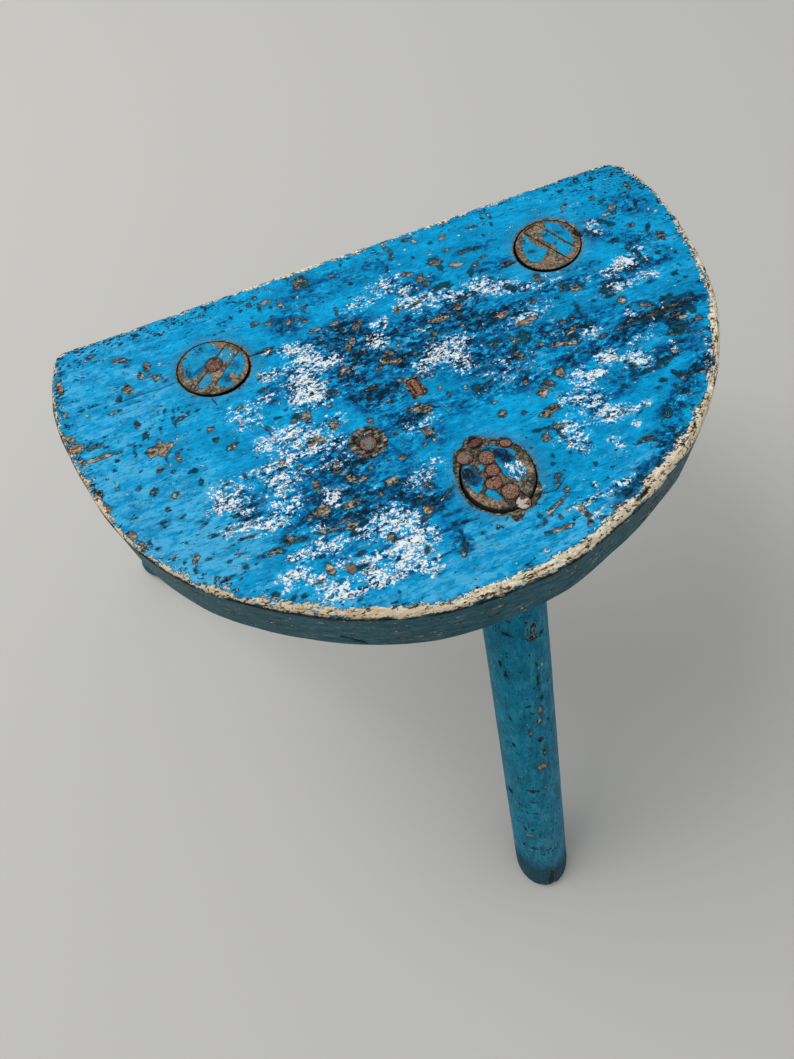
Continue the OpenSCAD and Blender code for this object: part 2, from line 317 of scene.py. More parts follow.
NAVY = [
    (-28, 76, 20, 8, 5, 0.95), (-22, 66, 16, 9, 0, 0.95), (-25, 55, 18, 8, 0, 0.80), (12, 63, 24, 8, 0, 0.85), (40, 52, 30, 8, 0, 0.80),
    (-30, 38, 8, 16, 10, 0.80), (-18, 30, 11, 9, 0, 0.80), (-52, 48, 12, 12, 0, 0.40), (-98, 0, 10, 8, -10, 0.70), (-96, -9, 8, 4, 0, 0.85),
    (-60, -15, 18, 12, 0, 0.75), (-48, 2, 16, 8, 0, 0.65), (-14, 13, 14, 7, 0, 0.75), (40, 27, 26, 10, 0, 0.68), (72, 30, 24, 8, 0, 0.62),
    (122, 20, 26, 5, 0, 0.90), (125, 10, 10, 7, 0, 0.85), (108, 46, 12, 5, 0, 0.80), (90, 55, 24, 4, -5, 0.72), (128, 50, 14, 4, 0, 0.60), (100, 62, 12, 3, 0, 0.5),
    (105, -4, 26, 6, 5, 0.72), (120, -16, 14, 5, 30, 0.65), (60, 10, 26, 8, 0, 0.58), (25, 12, 28, 8, 0, 0.55), (95, 14, 20, 7, 0, 0.62),
    (-70, 52, 8, 6, 0, 0.62), (-66, 62, 6, 6, 0, 0.5), (35, 66, 14, 8, 0, 0.75), (-35, -20, 20, 9, 0, 0.72), (-22, -32, 13, 7, 0, 0.70),
    (-75, -22, 14, 6, 0, 0.60), (-55, -28, 22, 5, 0, 0.70), (20, 88, 14, 6, 0, 0.5), (60, 82, 10, 6, 0, 0.45), (-48, 92, 12, 10, 0, 0.50),
    (140, 92, 8, 14, 60, 0.42), (118, 82, 9, 9, 0, 0.5), (132, 68, 10, 8, 0, 0.42), (100, -30, 16, 5, 20, 0.55), (5, 46, 18, 8, 0, 0.65),
    (-8, 52, 48, 22, 5, 0.36), (35, 42, 48, 20, 0, 0.36), (-30, 2, 38, 18, 8, 0.34), (95, 24, 44, 14, 0, 0.34), (-62, 4, 30, 16, 0, 0.30), (60, -60, 16, 5, 25, 0.62),
    (86, -46, 14, 5, 32, 0.62), (108, -22, 10, 5, 35, 0.62), (0, 108, 20, 8, 0, 0.25), (-30, 108, 20, 12, 0, 0.34), (140, 60, 6, 12, 0, 0.35), (-16, -44, 12, 6, 0, 0.30),
    (-17, -56, 5, 8, 0, 0.50), (60, 98, 10, 4, 0, 0.35), (-55, -40, 24, 6, 0, 0.30), (78, -12, 20, 6, 10, 0.35),
]
# chips in the paint: x, y, half length, half width, angle, shade (0 grey wood, 1 warm tan), dark (1 blackened)
CHIPS = [
    (-132.7, 106.1, 3.4, 1.6, -20, 0.45, 0.25), (-127.6, 103.8, 1.3, 0.5, -25, 0.2, 0.9), (-164.3, 102.7, 1.7, 3.3, 0, 0.9, 0),
    (-133, 86.3, 2.6, 3.3, 0, 0.35, 0.3), (-137.9, 82.7, 1.4, 1.8, -20, 0.1, 1), (-120.7, 96.9, 1.9, 2.4, 0, 0.25, 0.35),
    (-124.9, 91.8, 1.8, 2, 0, 0.25, 0.35), (-120.5, 90.1, 0.8, 0.8, 0, 0.5, 0.1), (-117.7, 87.3, 2, 1.5, -20, 0.6, 0.1),
    (-113.9, 83.7, 1, 1, 0, 0.3, 0.3), (-157.2, 114.3, 0.8, 1.1, 0, 0.1, 1), (-152, 113.8, 1, 0.8, 0, 0.1, 1),
    (-146.7, 114.8, 1.8, 1.2, 0, 0.5, 0.3), (-144.3, 110.7, 1, 0.4, 0, 0.1, 1), (-129.9, 116.7, 1.2, 0.6, 0, 0.1, 0.9),
    (-130.7, 101.1, 1.5, 0.7, 0, 0.2, 0.6), (-156.5, 83.3, 1.6, 0.6, 0, 0.1, 1), (-150.7, 83.7, 2.2, 0.8, 0, 0.1, 0.9),
    (-145.3, 80.3, 0.8, 0.6, 0, 0.1, 1), (-165, 84.3, 1.5, 1.2, 0, 0.8, 0.1), (-168, 92.7, 1.5, 1.5, 0, 0.8, 0.1),
    (-87.3, 116.7, 1.6, 1.5, 0, 0.45, 0.4), (-73.9, 108.8, 0.8, 1.1, 0, 0.1, 1), (-79, 107.3, 1.5, 0.5, 0, 0.1, 1),
    (-79.8, 101.5, 0.7, 0.4, 0, 0.1, 1), (-84, 101.2, 0.6, 0.5, 0, 0.1, 1), (-58.7, 115.7, 1.6, 1.4, 0, 0.3, 0.4),
    (-62.7, 112.7, 1.5, 1.4, 0, 0.3, 0.5), (-67.5, 110.7, 1, 0.9, 0, 0.2, 0.7), (-54.1, 110.7, 2.5, 1.4, 0, 0.7, 0.2),
    (-58.2, 108.3, 0.8, 1.8, 0, 0.4, 0.4), (-52.3, 106.7, 1, 0.8, 0, 0.1, 0.9), (-47.6, 106, 1, 2.6, 15, 0.7, 0.1),
    (-63, 99.2, 2, 1.4, 0, 0.3, 0.4), (-56.7, 96.7, 2.2, 1.3, 0, 0.5, 0.2), (-54, 100.3, 0.8, 0.6, 0, 0.1, 1),
    (-47.5, 92.8, 1.3, 1.8, 0, 0.9, 0.1), (-43, 93, 2.4, 1.1, 0, 0.5, 0.15), (-51, 94.5, 1.2, 0.8, 0, 0.1, 0.9),
    (-39.7, 89.7, 1.3, 1.3, 0, 0.9, 0.1), (-37.7, 97.9, 1.3, 1.3, 45, 0.3, 0.3), (-39.3, 107.7, 1, 0.6, 0, 0.1, 0.9),
    (-35.3, 99.7, 0.6, 0.6, 0, 0.1, 1), (-23, 88.7, 0.9, 2.8, 0, 0.55, 0.15), (-37, 81.9, 3, 1.3, 0, 0.65, 0.15),
    (-26.7, 82, 2.5, 1.2, 0, 0.65, 0.15), (-63, 80.5, 2.5, 0.8, 0, 0.5, 0.3), (-67, 80.5, 1, 0.6, 0, 0.4, 0.5),
    (-33.3, 115.7, 4, 3.6, 0, 0.5, 0.5), (-32, 112, 2, 1.5, 0, 0.3, 0.7), (-17, 113.3, 1.6, 1.2, 0, 0.5, 0.2),
    (15, 121, 0.9, 3, 0, 0.8, 0.1), (16.7, 115, 1, 2.2, 0, 0.3, 0.5), (15.3, 111, 0.8, 1.8, -20, 0.4, 0.5),
    (10.3, 104.3, 0.8, 2, -25, 0.3, 0.5), (30.7, 116.3, 1.2, 2, 35, 0.5, 0.3), (27.3, 119.7, 2, 1, 0, 0.3, 0.4),
    (45, 113, 2.2, 1.4, 35, 0.85, 0.1), (37.7, 111.7, 1.2, 1, 0, 0.1, 0.9), (59.7, 113.3, 1, 1, 0, 0.5, 0.2),
    (63.3, 113, 1.2, 1.1, 0, 0.3, 0.3), (25.7, 105.7, 0.7, 1, 0, 0.1, 1), (23.1, 102.2, 0.5, 0.4, 0, 0.1, 1),
    (8.7, 113, 0.5, 0.4, 0, 0.1, 1), (4.2, 112.2, 0.5, 0.4, 0, 0.1, 1), (43.3, 103.3, 2, 1.2, 20, 0.5, 0.3),
    (18.3, 96.9, 3, 1.8, -20, 0.5, 0.2), (23.7, 91, 2.4, 1.2, 25, 0.85, 0.1), (43.7, 91.7, 3, 1.5, -10, 0.7, 0.1),
    (35.7, 93.7, 1.2, 2.5, 0, 0.2, 0.7), (35.3, 101, 2, 0.7, 0, 0.1, 0.9), (34.7, 98, 3.6, 2.2, -20, 0.2, 0.35),
    (51.3, 98.7, 4.5, 1.4, 0, 0.2, 0.6), (57.3, 97.7, 2, 1, 0, 0.2, 0.6), (58, 90.7, 1.6, 1.2, 0, 0.4, 0.3),
    (52.7, 87.3, 2.6, 1.3, 45, 0.25, 0.45), (48.3, 83.3, 2.6, 1.3, 55, 0.2, 0.7), (54, 81.7, 1.5, 0.8, 0, 0.1, 0.9),
    (65, 104.3, 0.7, 1, 0, 0.1, 1), (67.3, 80.7, 3, 1.5, 0, 0.2, 0.4), (6, 90, 0.5, 1.6, 0, 0.6, 0.1),
    (25.3, 86.7, 2, 2, 0, 0.4, 0.5), (30.7, 82, 5, 2.2, 0, 0.3, 0.75), (34.7, 80, 3, 1.5, 0, 0.3, 0.8),
    (-10, 103.3, 1, 1, 0, 0.2, 0.8), (73.3, 116.7, 0.8, 1.6, 0, 0.6, 0.1), (72, 110, 0.6, 1.4, 0, 0.1, 1),
    (111, 104.5, 1.6, 1, 35, 0.5, 0), (113, 106, 1, 1.2, 0, 0.1, 1), (127.7, 104.3, 1.2, 1.1, 0, 0.5, 0.2),
    (130, 99, 0.6, 1.5, 0, 0.3, 0.7), (133.7, 93.3, 2.3, 1.4, 10, 0.65, 0.15), (128.3, 89.7, 2, 1.5, 0, 0.6, 0.15),
    (132, 88.7, 1.2, 0.8, 0, 0.4, 0.5), (141.7, 87.7, 1, 1, 0, 0.1, 0.9), (145.3, 90, 0.8, 2, -20, 0.1, 0.9),
    (144.7, 96, 0.7, 1.5, -20, 0.1, 0.9), (148.7, 104, 1.6, 2.8, 0, 0.35, 0.1), (115.5, 116.1, 1.4, 1, 20, 0.1, 1),
    (122.3, 117.8, 1.2, 0.6, 0, 0.1, 1), (108.3, 120.7, 1.5, 1, 0, 0.1, 1), (125.3, 118, 0.8, 0.5, 0, 0.1, 1),
    (121.3, 102, 0.9, 0.7, 0, 0.1, 0.9), (123.3, 87.3, 1.6, 1.5, 0, 0.1, 0.9), (127, 82.7, 1.8, 2.4, 20, 0.1, 1),
    (-165, 77, 1.5, 0.8, 0, 0.2, 0.7), (-166, 69, 3.5, 1.8, 0, 0.8, 0.1), (-164, 62, 5.5, 2.8, 0, 0.8, 0.15),
    (-154.7, 59.7, 4.5, 0.9, 0, 0.5, 0.4), (-148.7, 57.2, 1.4, 0.6, 0, 0.1, 1), (-153.3, 52.5, 6, 1.3, 5, 0.7, 0.15),
    (-144.3, 51.5, 1.1, 0.6, 0, 0.1, 1), (-146.2, 47.5, 1.1, 0.9, 0, 0.1, 0.8), (-148.7, 42.7, 1, 0.8, 0, 0.1, 0.9),
    (-149, 63.3, 0.8, 0.6, 0, 0.1, 0.9), (-155.7, 62.7, 1.2, 0.8, 0, 0.2, 0.6), (-143, 75.5, 2, 1, -5, 0.3, 0),
    (-139.7, 75.5, 1, 0.6, 0, 0.1, 0.9), (-133.1, 64.3, 1.2, 1.8, 20, 0.1, 0.6), (-133, 62.3, 1.2, 1.1, 0, 0.3, 0.1),
    (-130.8, 55.7, 2, 1.5, 20, 0.3, 0.7), (-123, 56, 0.8, 1.6, -15, 0.1, 0.9), (-119, 65.7, 0.8, 1.2, -20, 0.1, 0.9),
    (-114.7, 64.5, 0.8, 1.1, 0, 0.1, 1), (-112.3, 64.1, 0.6, 0.9, -20, 0.1, 1), (-120.7, 60.7, 0.8, 0.6, 0, 0.1, 0.9),
    (-115.7, 60.2, 0.8, 0.6, 0, 0.1, 0.9), (-112.7, 58.3, 4, 1.1, 8, 0.4, 0.4), (-116, 56.3, 0.4, 1.6, 0, 0.1, 0.9),
    (-108.7, 60, 0.8, 0.8, 0, 0.1, 0.9), (-106, 64, 1, 0.6, 0, 0.2, 0.7), (-104, 59.3, 1, 0.6, 0, 0.3, 0.4),
    (-103, 68.3, 1.2, 0.5, 0, 0.1, 0.9), (-100.8, 45.9, 1.4, 1.4, 0, 0.5, 0.15), (-100.5, 39.2, 1.3, 1.4, 0, 0.3, 0.5),
    (-94.3, 32.3, 2.5, 1.6, 10, 0.6, 0.5), (-137.3, 48, 0.8, 1.8, 0, 0.4, 0.5), (-130, 45.3, 2.5, 2.8, 0, 0.6, 0.1),
    (-126.5, 43.5, 3.6, 1.4, -38, 0.8, 0.1), (-124.7, 44.4, 2.8, 3.2, 0, 0.6, 0.2), (-125.7, 48, 1.2, 2.5, 10, 0.5, 0.3),
    (-121.7, 45.7, 2, 1.5, 20, 0.7, 0.1), (-137, 51.7, 0.9, 0.8, 0, 0.1, 0.9), (-138.3, 53.5, 1, 0.4, 0, 0.1, 0.9),
    (-134.1, 50.8, 0.6, 0.5, 0, 0.1, 0.9), (-118.9, 36.7, 1, 2.8, 8, 0.6, 0.1), (-128.3, 34, 1.6, 1.2, 0, 0.4, 0.1),
    (-122.8, 30.7, 1.2, 1, 0, 0.1, 0.7), (-149, 32.5, 1.2, 0.9, 0, 0.4, 0.4), (-137.3, 37, 0.7, 0.6, 0, 0.1, 0.9),
    (-124.4, 37.9, 0.5, 1.4, 0, 0.1, 0.9), (-97.3, 49.7, 0.5, 0.5, 0, 0.1, 0.9), (-116.7, 40.7, 0.5, 0.4, 0, 0.1, 0.9),
    (-158.3, 32.3, 2.2, 2.8, 0, 0.5, 0.3), (-162.3, 53.7, 1.5, 1.5, 0, 0.5, 0.3), (-62.7, 77, 1.4, 1.3, 0, 0.1, 0.8),
    (-71.1, 65.5, 1.1, 1.2, 0, 0.4, 0.3), (-67.5, 72.3, 0.5, 0.6, 0, 0.6, 0.1), (-71.3, 57.7, 2.5, 1, 15, 0.45, 0.25),
    (-84.3, 52.3, 1.6, 1, 0, 0.7, 0.1), (-76.3, 34.7, 1, 2.2, 40, 0.45, 0.3), (-61.5, 35.8, 2.4, 2, 0, 0.2, 0.8),
    (-58, 34, 2.2, 2, 0, 0.6, 0.25), (-63.3, 33.7, 1.5, 1.5, 0, 0.5, 0.3), (-56, 34.7, 1.2, 2.5, 0, 0.5, 0.2),
    (-57, 30.7, 1.6, 1.2, 0, 0.5, 0.5), (-45.3, 34.7, 1.5, 1, 10, 0.6, 0.4), (-41.3, 42, 2.5, 1.5, -15, 0.35, 0.65),
    (-39, 40, 1.2, 0.8, 0, 0.4, 0), (-32.5, 52, 3.2, 1, 25, 0.7, 0.15), (-34.7, 49, 1, 1, 0, 0.6, 0.2),
    (-25.3, 64.3, 1.8, 1.6, 40, 0.65, 0.1), (-22.1, 67.2, 1.3, 2.2, -25, 0.65, 0.1), (-16.3, 76, 3.2, 1.9, 45, 0.35, 0.1),
    (-15.3, 46.3, 2, 1, 15, 0.3, 0), (-12, 49.3, 2.5, 2.2, 20, 0.5, 0.25), (-23, 36.5, 3, 1, 0, 0.25, 0.2),
    (-26.3, 32, 0.8, 3, -15, 0.2, 0.7), (-65, 41.7, 1.2, 1, 0, 0.3, 0.8), (-70.3, 38.7, 1.6, 1, 0, 0.3, 0.8),
    (5.7, 76.7, 2.2, 1.8, 0, 0.4, 0.2), (-5, 71, 1.2, 1.3, 0, 0.4, 0.7), (16.7, 76.7, 6, 1.2, 15, 0.3, 0.3),
    (22.7, 61.7, 6.5, 1.4, -5, 0.5, 0.15), (33, 65.3, 3, 2, -10, 0.65, 0.25), (37.3, 69, 3, 1.8, 20, 0, 1),
    (32, 67.3, 2, 1, 0, 0, 1), (32, 60.7, 2.5, 2, 0, 0, 1), (15.3, 53.7, 2.2, 1.8, -15, 0.3, 0.1),
    (30.2, 53.1, 0.9, 0.9, 0, 0.5, 0), (-2.3, 54.7, 1.2, 1, 0, 0.6, 0.3), (-7.7, 52.3, 2.5, 1.5, -10, 0.5, 0.1),
    (-7.3, 46.7, 4, 1.8, 0, 0.35, 0.3), (-2, 46.7, 1.6, 1, 0, 0.5, 0.6), (3.3, 46.7, 1.2, 1.8, 0, 0.4, 0.5),
    (50.7, 51, 3.5, 1.9, 5, 0.5, 0.1), (59.3, 42.3, 6, 1.6, 3, 0.8, 0.2), (68.3, 52.3, 1, 1.8, 0, 0.5, 0.2),
    (38.7, 37.8, 4.5, 0.9, 0, 0, 1), (39.7, 36.3, 3, 0.9, -5, 0.4, 0.2), (48.7, 34.7, 1.2, 3, 0, 0.4, 0.4),
    (54.7, 34, 3.6, 3, 0, 0.3, 0.75), (56.7, 33.3, 1.3, 1.2, 0, 0.6, 0.1), (51.8, 34.2, 1, 1.6, 0, 0.5, 0.1),
    (48, 30.3, 4, 1, 15, 0.1, 0.8), (-10, 35, 1.3, 1, 0, 0.6, 0.4), (1, 32.3, 1.2, 1.6, 0, 0.2, 0), (5.3, 31, 1, 0.8, 0, 0.6, 0.1),
    (62, 65, 3, 2, -20, 0, 1), (56, 75.5, 1.2, 0.8, 0, 0.3, 0.3), (45.3, 52.3, 1.8, 1, 0, 0.2, 0.7),
    (62.3, 48.3, 1.5, 1.3, 0, 0.1, 0.8), (67.3, 60.7, 1.5, 1, 0, 0.1, 0.9), (76.7, 65.7, 2, 2.4, 0, 0.35, 0.25),
    (78, 62, 2.2, 1.2, 0, 0.35, 0.3), (84.2, 56.6, 3.2, 0.9, -30, 0.6, 0.4), (84, 52.7, 1.2, 1, 0, 0.4, 0.1),
    (90.7, 50.7, 3.4, 1.8, -10, 0.4, 0.15), (86.7, 51.5, 1.2, 0.9, 0, 0.1, 0.9), (94.3, 50.7, 1.2, 0.7, 0, 0.1, 0.9),
    (80, 49, 1.5, 1.2, 0, 0.1, 1), (85.7, 39.3, 1.2, 3.2, 0, 0.1, 0.8), (95, 39.7, 1.3, 1, 0, 0.1, 0.9),
    (103, 43, 3.5, 1.6, 0, 0.1, 1), (102.7, 39, 3, 1.2, 0, 0.1, 1), (107, 34.3, 2.2, 2, 0, 0.7, 0.2),
    (120.7, 50, 3.5, 1.4, 0, 0.1, 1), (125.3, 39, 2, 0.9, 0, 0.1, 1), (138.3, 38.5, 2, 1.4, 0, 0.1, 1),
    (129.3, 57.7, 1.6, 3, 0, 0.1, 0.9), (130.3, 52.7, 2, 1.3, 0, 0.1, 0.9), (127, 64, 2.5, 1.3, 40, 0.3, 0.6),
    (136.7, 77.7, 1.6, 1.3, 0, 0.4, 0.2), (142.7, 71.7, 0.7, 2.6, -35, 0.1, 1), (145.7, 64.3, 1.7, 3, 0, 0.3, 0.05),
    (122.7, 71.3, 3, 1.5, 0, 0.3, 0.7), (135, 48.3, 1.1, 1, 0, 0.1, 0.7), (142, 48, 1.5, 0.9, 0, 0.1, 0.9),
    (146, 50.3, 0.8, 1.3, 0, 0.1, 1), (143.7, 55, 0.7, 0.7, 0, 0.1, 1), (138, 54.3, 1, 1, 0, 0.1, 0.7),
    (143.3, 43.3, 1, 0.7, 0, 0.1, 1), (137.7, 33, 0.8, 0.6, 0, 0.1, 1), (141.7, 34, 0.8, 0.5, 0, 0.1, 0.9),
    (146.3, 28.7, 1.3, 0.8, 0, 0.1, 1), (74.7, 34, 2, 1.2, 0, 0.35, 0.5), (80, 34, 1, 1.8, 0, 0.35, 0.5),
    (78, 28.7, 3.5, 1, 10, 0.55, 0.1), (107.3, 28.7, 1.2, 0.8, 0, 0.4, 0.7), (-156, 24.3, 1.6, 2.8, 10, 0.9, 0),
    (-148, 5.3, 1.6, 2.8, 30, 0.95, 0), (-144.7, -1, 1.3, 2.6, 35, 0.5, 0.1), (-133.8, 23.3, 2.2, 2.2, 0, 0.1, 0.55),
    (-114, 27, 2, 1.4, 0, 0.2, 0.8), (-139.7, 28.3, 1.4, 1.2, 0, 0.3, 0.4), (-125.5, 17.5, 2.1, 1.5, 0, 0.65, 0.15),
    (-112.5, 19.7, 1.1, 1.4, -20, 0.2, 0.7), (-130, 11.7, 1.2, 1.2, 0, 0.4, 0.6), (-146.3, 14, 1.5, 0.5, 0, 0.1, 1),
    (-133.3, 6.3, 2.3, 1, -5, 0.2, 0.7), (-133.3, 3.7, 1.2, 0.6, 0, 0.2, 0.6), (-125.3, 5.3, 2, 0.6, 30, 0.1, 0.9),
    (-126.3, -7.7, 0.8, 0.5, 20, 0.1, 1), (-127.9, -1.9, 0.7, 0.5, 0, 0.1, 0.9), (-116.3, -1.9, 2, 0.9, 35, 0.2, 0.8),
    (-141.7, -1, 0.8, 1.2, 0, 0.1, 0.9), (-139, -5.3, 1, 0.7, 0, 0.1, 0.8), (-114, -9.3, 2.2, 1, -15, 0.2, 0.7),
    (-124.5, -17.2, 1.5, 3, -15, 0.45, 0.3), (-129.3, -16.7, 0.8, 0.8, 0, 0.1, 0.9), (-102.1, -3.9, 1.8, 1.1, -10, 0.25, 0.7),
    (-101.7, 13.7, 1.4, 1, 0, 0.3, 0.6), (-93.3, 14, 0.8, 1.8, 0, 0.1, 0.9), (-107.7, -17.2, 2, 0.6, 0, 0.1, 0.9),
    (-116.7, -17.7, 0.8, 0.5, 0, 0.1, 0.9), (-118.7, -19.3, 1.6, 0.5, 0, 0.1, 0.8), (-107.3, -8.7, 1.2, 0.9, 0, 0.1, 0.9),
    (-102.7, -16, 1.4, 0.6, 0, 0.1, 0.9), (-98.7, -16.3, 1.2, 0.5, 0, 0.1, 0.9), (-46.8, 24, 2.2, 2.4, 0, 0.5, 0.2),
    (-58, 19, 3.5, 1.8, 10, 0.55, 0.25), (-54, 17, 1.3, 1, 0, 0.55, 0.4), (-75.3, 14.3, 1.3, 1.2, 0, 0.8, 0.35),
    (-69.1, 8.3, 1.2, 0.9, 0, 0.6, 0.2), (-65.8, 4.8, 0.9, 0.8, 0, 0.6, 0), (-53.7, 0, 2.3, 1.5, 0, 0.4, 0.15),
    (-65, -3, 1.4, 2, 0, 0.55, 0.25), (-64.8, -6.7, 1.2, 0.8, 0, 0.5, 0.4), (-49.7, -6.3, 2.3, 1.4, -35, 0.5, 0.25),
    (-45.3, -9, 4, 1.2, 0, 0.5, 0.3), (-39.3, -4.7, 1.2, 1, 0, 0.5, 0.4), (-67.3, -17.7, 4.2, 2.8, 10, 0.5, 0.3),
    (-72.7, -18, 1.6, 1.6, 0, 0.4, 0.5), (-65.5, -16, 1, 2.2, 15, 0.8, 0.1), (-33.3, -15.7, 3.2, 2.1, 0, 0.5, 0.15),
    (-53, -18.7, 4, 2, 0, 0.45, 0.35), (-49.3, -16.7, 1.5, 1, 0, 0.4, 0.4), (-40.3, -19.7, 1.5, 1, 0, 0.5, 0.4),
    (-24, -6, 2.3, 1.1, -5, 0.9, 0), (-31, 19, 2.2, 1.3, -50, 0.45, 0.15), (-13, -3.3, 1, 1, 0, 0.3, 0.2),
    (-23, 7.3, 1, 0.7, 0, 0.45, 0.1), (-8, 15.7, 4.8, 2.6, -15, 0.35, 0.05), (-5.3, 12, 2.5, 0.9, 0, 0.2, 0.8),
    (-3.5, 13.7, 1.4, 1, 0, 0.6, 0.3), (-8.7, 1.3, 2.8, 2.8, 0, 0.4, 0.1), (-7.7, -2.7, 0.9, 1.8, 10, 0.45, 0.1),
    (-10.7, 4.3, 1.5, 1, 0, 0.5, 0.4), (5.7, 22.3, 1, 1.2, 0, 0.4, 0.2), (8, 18, 1.2, 2, 0, 0.35, 0.5),
    (16.7, 18, 0.9, 0.9, 0, 0.6, 0.2), (21.3, 15.7, 2, 2.6, 0, 0.1, 0.85), (24.7, 12.3, 0.8, 1.4, 20, 0.45, 0.1),
    (21, 12.3, 0.6, 0.6, 0, 0.5, 0.1), (28, 16.3, 3, 0.7, 20, 0.2, 0.6), (26, -3, 2, 1.6, 0, 0.5, 0),
    (35.3, -6.3, 1.2, 1, 0, 0.2, 0.6), (25, 4.3, 0.9, 0.7, 0, 0.4, 0.2), (47.5, 0.3, 2.9, 2.7, 0, 0.6, 0.05),
    (52, 3.7, 3.4, 2.4, -40, 0.35, 0.4), (45, -10.7, 3.8, 2.4, 0, 0.45, 0), (49.3, -10, 2.4, 2.2, 0, 0.35, 0.35),
    (59.7, 25.9, 1.6, 0.8, 0, 0.5, 0), (46.3, 26, 1.2, 2, 0, 0.35, 0.3), (48.3, 23, 1.6, 1.4, 0, 0.4, 0.2),
    (44.5, 16.7, 1.1, 1, 0, 0.45, 0.2), (43.3, 8.7, 1.2, 2, -25, 0.5, 0.3), (60.3, 7.7, 2.2, 2.5, 0, 0.5, 0.2),
    (70.5, 21.8, 7, 1.6, -12, 0.5, 0), (37.7, -17.8, 3, 0.7, 0, 0.3, 0.7), (45.3, -19.3, 4, 0.8, -10, 0.3, 0.4),
    (77, 27.7, 3.5, 1, 15, 0.6, 0.1), (75, 24, 3, 1.2, 0, 0.05, 1), (87.3, 28, 1.2, 2, 0, 0.3, 0.85),
    (88, 18, 2.5, 1.2, 0, 0.3, 0.5), (97.3, 18.7, 3, 1, 0, 0.3, 0.5), (119, 20.6, 16, 1.2, 0, 0.35, 0.35),
    (120, 18.8, 15, 0.7, 0, 0.1, 0.9), (116, 26.7, 3, 1.5, -15, 0.3, 0.1), (126.7, 26.7, 3.5, 1.6, 0, 0.05, 1),
    (134.7, 23.7, 7, 1.3, 0, 0.05, 1), (126, 15.3, 3.5, 1, 0, 0.3, 0), (128.3, 12.3, 2, 1.4, 0, 0.4, 0.1),
    (134, 15, 2, 3, 0, 0.05, 1), (124, 8, 5, 3.5, 0, 0.05, 1), (121, 12, 1.5, 2.5, 0, 0.05, 1), (133, 8.5, 3, 1, 10, 0.4, 0.1),
    (141, 5, 2.2, 1.4, 30, 0.6, 0.05), (138, 2, 1.5, 1.5, 0, 0.6, 0.1), (118, 5, 4, 0.7, -18, 0.4, 0.3),
    (126, 3, 3.5, 0.6, -15, 0.4, 0.4), (135, 1, 2, 0.6, -20, 0.1, 0.8), (137, -1.5, 1.5, 0.8, 0, 0.2, 0.7),
    (107, -6.5, 2.5, 1.2, 10, 0.1, 0.9), (104, -8.5, 3, 1.5, 10, 0.1, 0.9), (97.5, -8.5, 2, 1.5, 0, 0.1, 0.8),
    (83, -12, 1.2, 1.2, 0, 0.05, 1), (94, -9.5, 2.5, 0.8, 0, 0.1, 0.8), (108, -16, 2, 2.5, 0, 0.1, 0.9),
    (92.5, -4, 1.5, 1.3, 0, 0.1, 0.9), (91, 0, 1.2, 1, 0, 0.1, 0.9), (123, -14, 1.5, 1.2, 0, 0.1, 0.9),
    (125, -17, 1.3, 1, 0, 0.1, 0.9), (115, -18, 2, 1, 0, 0.2, 0.6), (119, -19.3, 2, 1, 0, 0.5, 0.2),
    (109, -19, 1.5, 1, 0, 0.4, 0.3), (88, -11, 1.5, 0.6, 0, 0.1, 0.9), (100, -16.5, 1.5, 1, 0, 0.1, 0.8),
    (96, -19.5, 1.5, 0.8, 0, 0.1, 0.9), (122.7, -8, 1, 0.6, 0, 0.1, 0.7), (113, -5.7, 2, 0.6, 0, 0.05, 0.9),
    (-105, -22.7, 1.3, 0.5, -10, 0.1, 0.9), (-111.5, -24, 0.8, 0.5, 0, 0.1, 0.8), (-105.5, -29, 0.9, 1.3, 0, 0.3, 0.6),
    (-98, -27.5, 2, 1, 0, 0.1, 0.8), (-101, -29.5, 0.8, 0.8, 0, 0.1, 0.9), (-92, -27.7, 3, 1.5, -5, 0.35, 0.3),
    (-114, -31.5, 3, 0.8, 0, 0.3, 0.5), (-118.5, -29.5, 1.2, 0.8, 0, 0.6, 0.2), (-98, -47.3, 1.8, 1.2, 0, 0.1, 0.6),
    (-91.5, -51.5, 1.8, 1.3, 0, 0.05, 0.9), (-109, -34, 0.5, 0.5, 0, 0.1, 0.9), (-126, -22.5, 1, 1.3, 0, 0.2, 0.7),
    (-124, -29.5, 0.7, 0.5, 0, 0.1, 0.9), (-84.5, -24.8, 3.2, 1.7, -20, 0.45, 0.3), (-90.5, -28.5, 3, 1.2, -10, 0.15, 0.8),
    (-81, -26.5, 3, 1, 0, 0.2, 0.6), (-69, -27, 5, 1, -15, 0.5, 0.3), (-58, -25.5, 9, 0.8, 5, 0.4, 0.35),
    (-57, -29, 4, 1.6, 5, 0.45, 0.15), (-72.5, -45.3, 1.6, 2.7, 10, 0.6, 0.3), (-64.5, -47.5, 1.9, 2.3, 0, 0.95, 0.15),
    (-60, -49.5, 2.5, 1.3, 0, 0.05, 1), (-44, -41.3, 2, 1.5, 0, 0.35, 0.3), (-43, -43, 1.5, 1, 0, 0.05, 1),
    (-20.3, -22.8, 1.3, 1, 0, 0.6, 0.2), (-18, -25.5, 2.2, 0.9, -30, 0.4, 0.4), (-24, -28, 2, 1, -30, 0.4, 0.5),
    (-26, -30.5, 2, 1.8, 0, 0.05, 0.9), (-24, -35, 2.6, 2.4, 0, 0.7, 0.2), (-26, -38.5, 2.6, 1, 0, 0.3, 0.5),
    (-18, -32.5, 2.8, 1.5, 10, 0.05, 1), (-18.5, -37, 1.5, 1, 0, 0.1, 0.9), (-86.5, -52, 1.5, 1, 0, 0.1, 0.6),
    (-78, -48.5, 2, 0.8, 0, 0.3, 0.4), (-17, -41.3, 1.4, 0.5, 0, 0.1, 0.9), (-16.5, -46, 0.8, 0.8, 0, 0.1, 0.8),
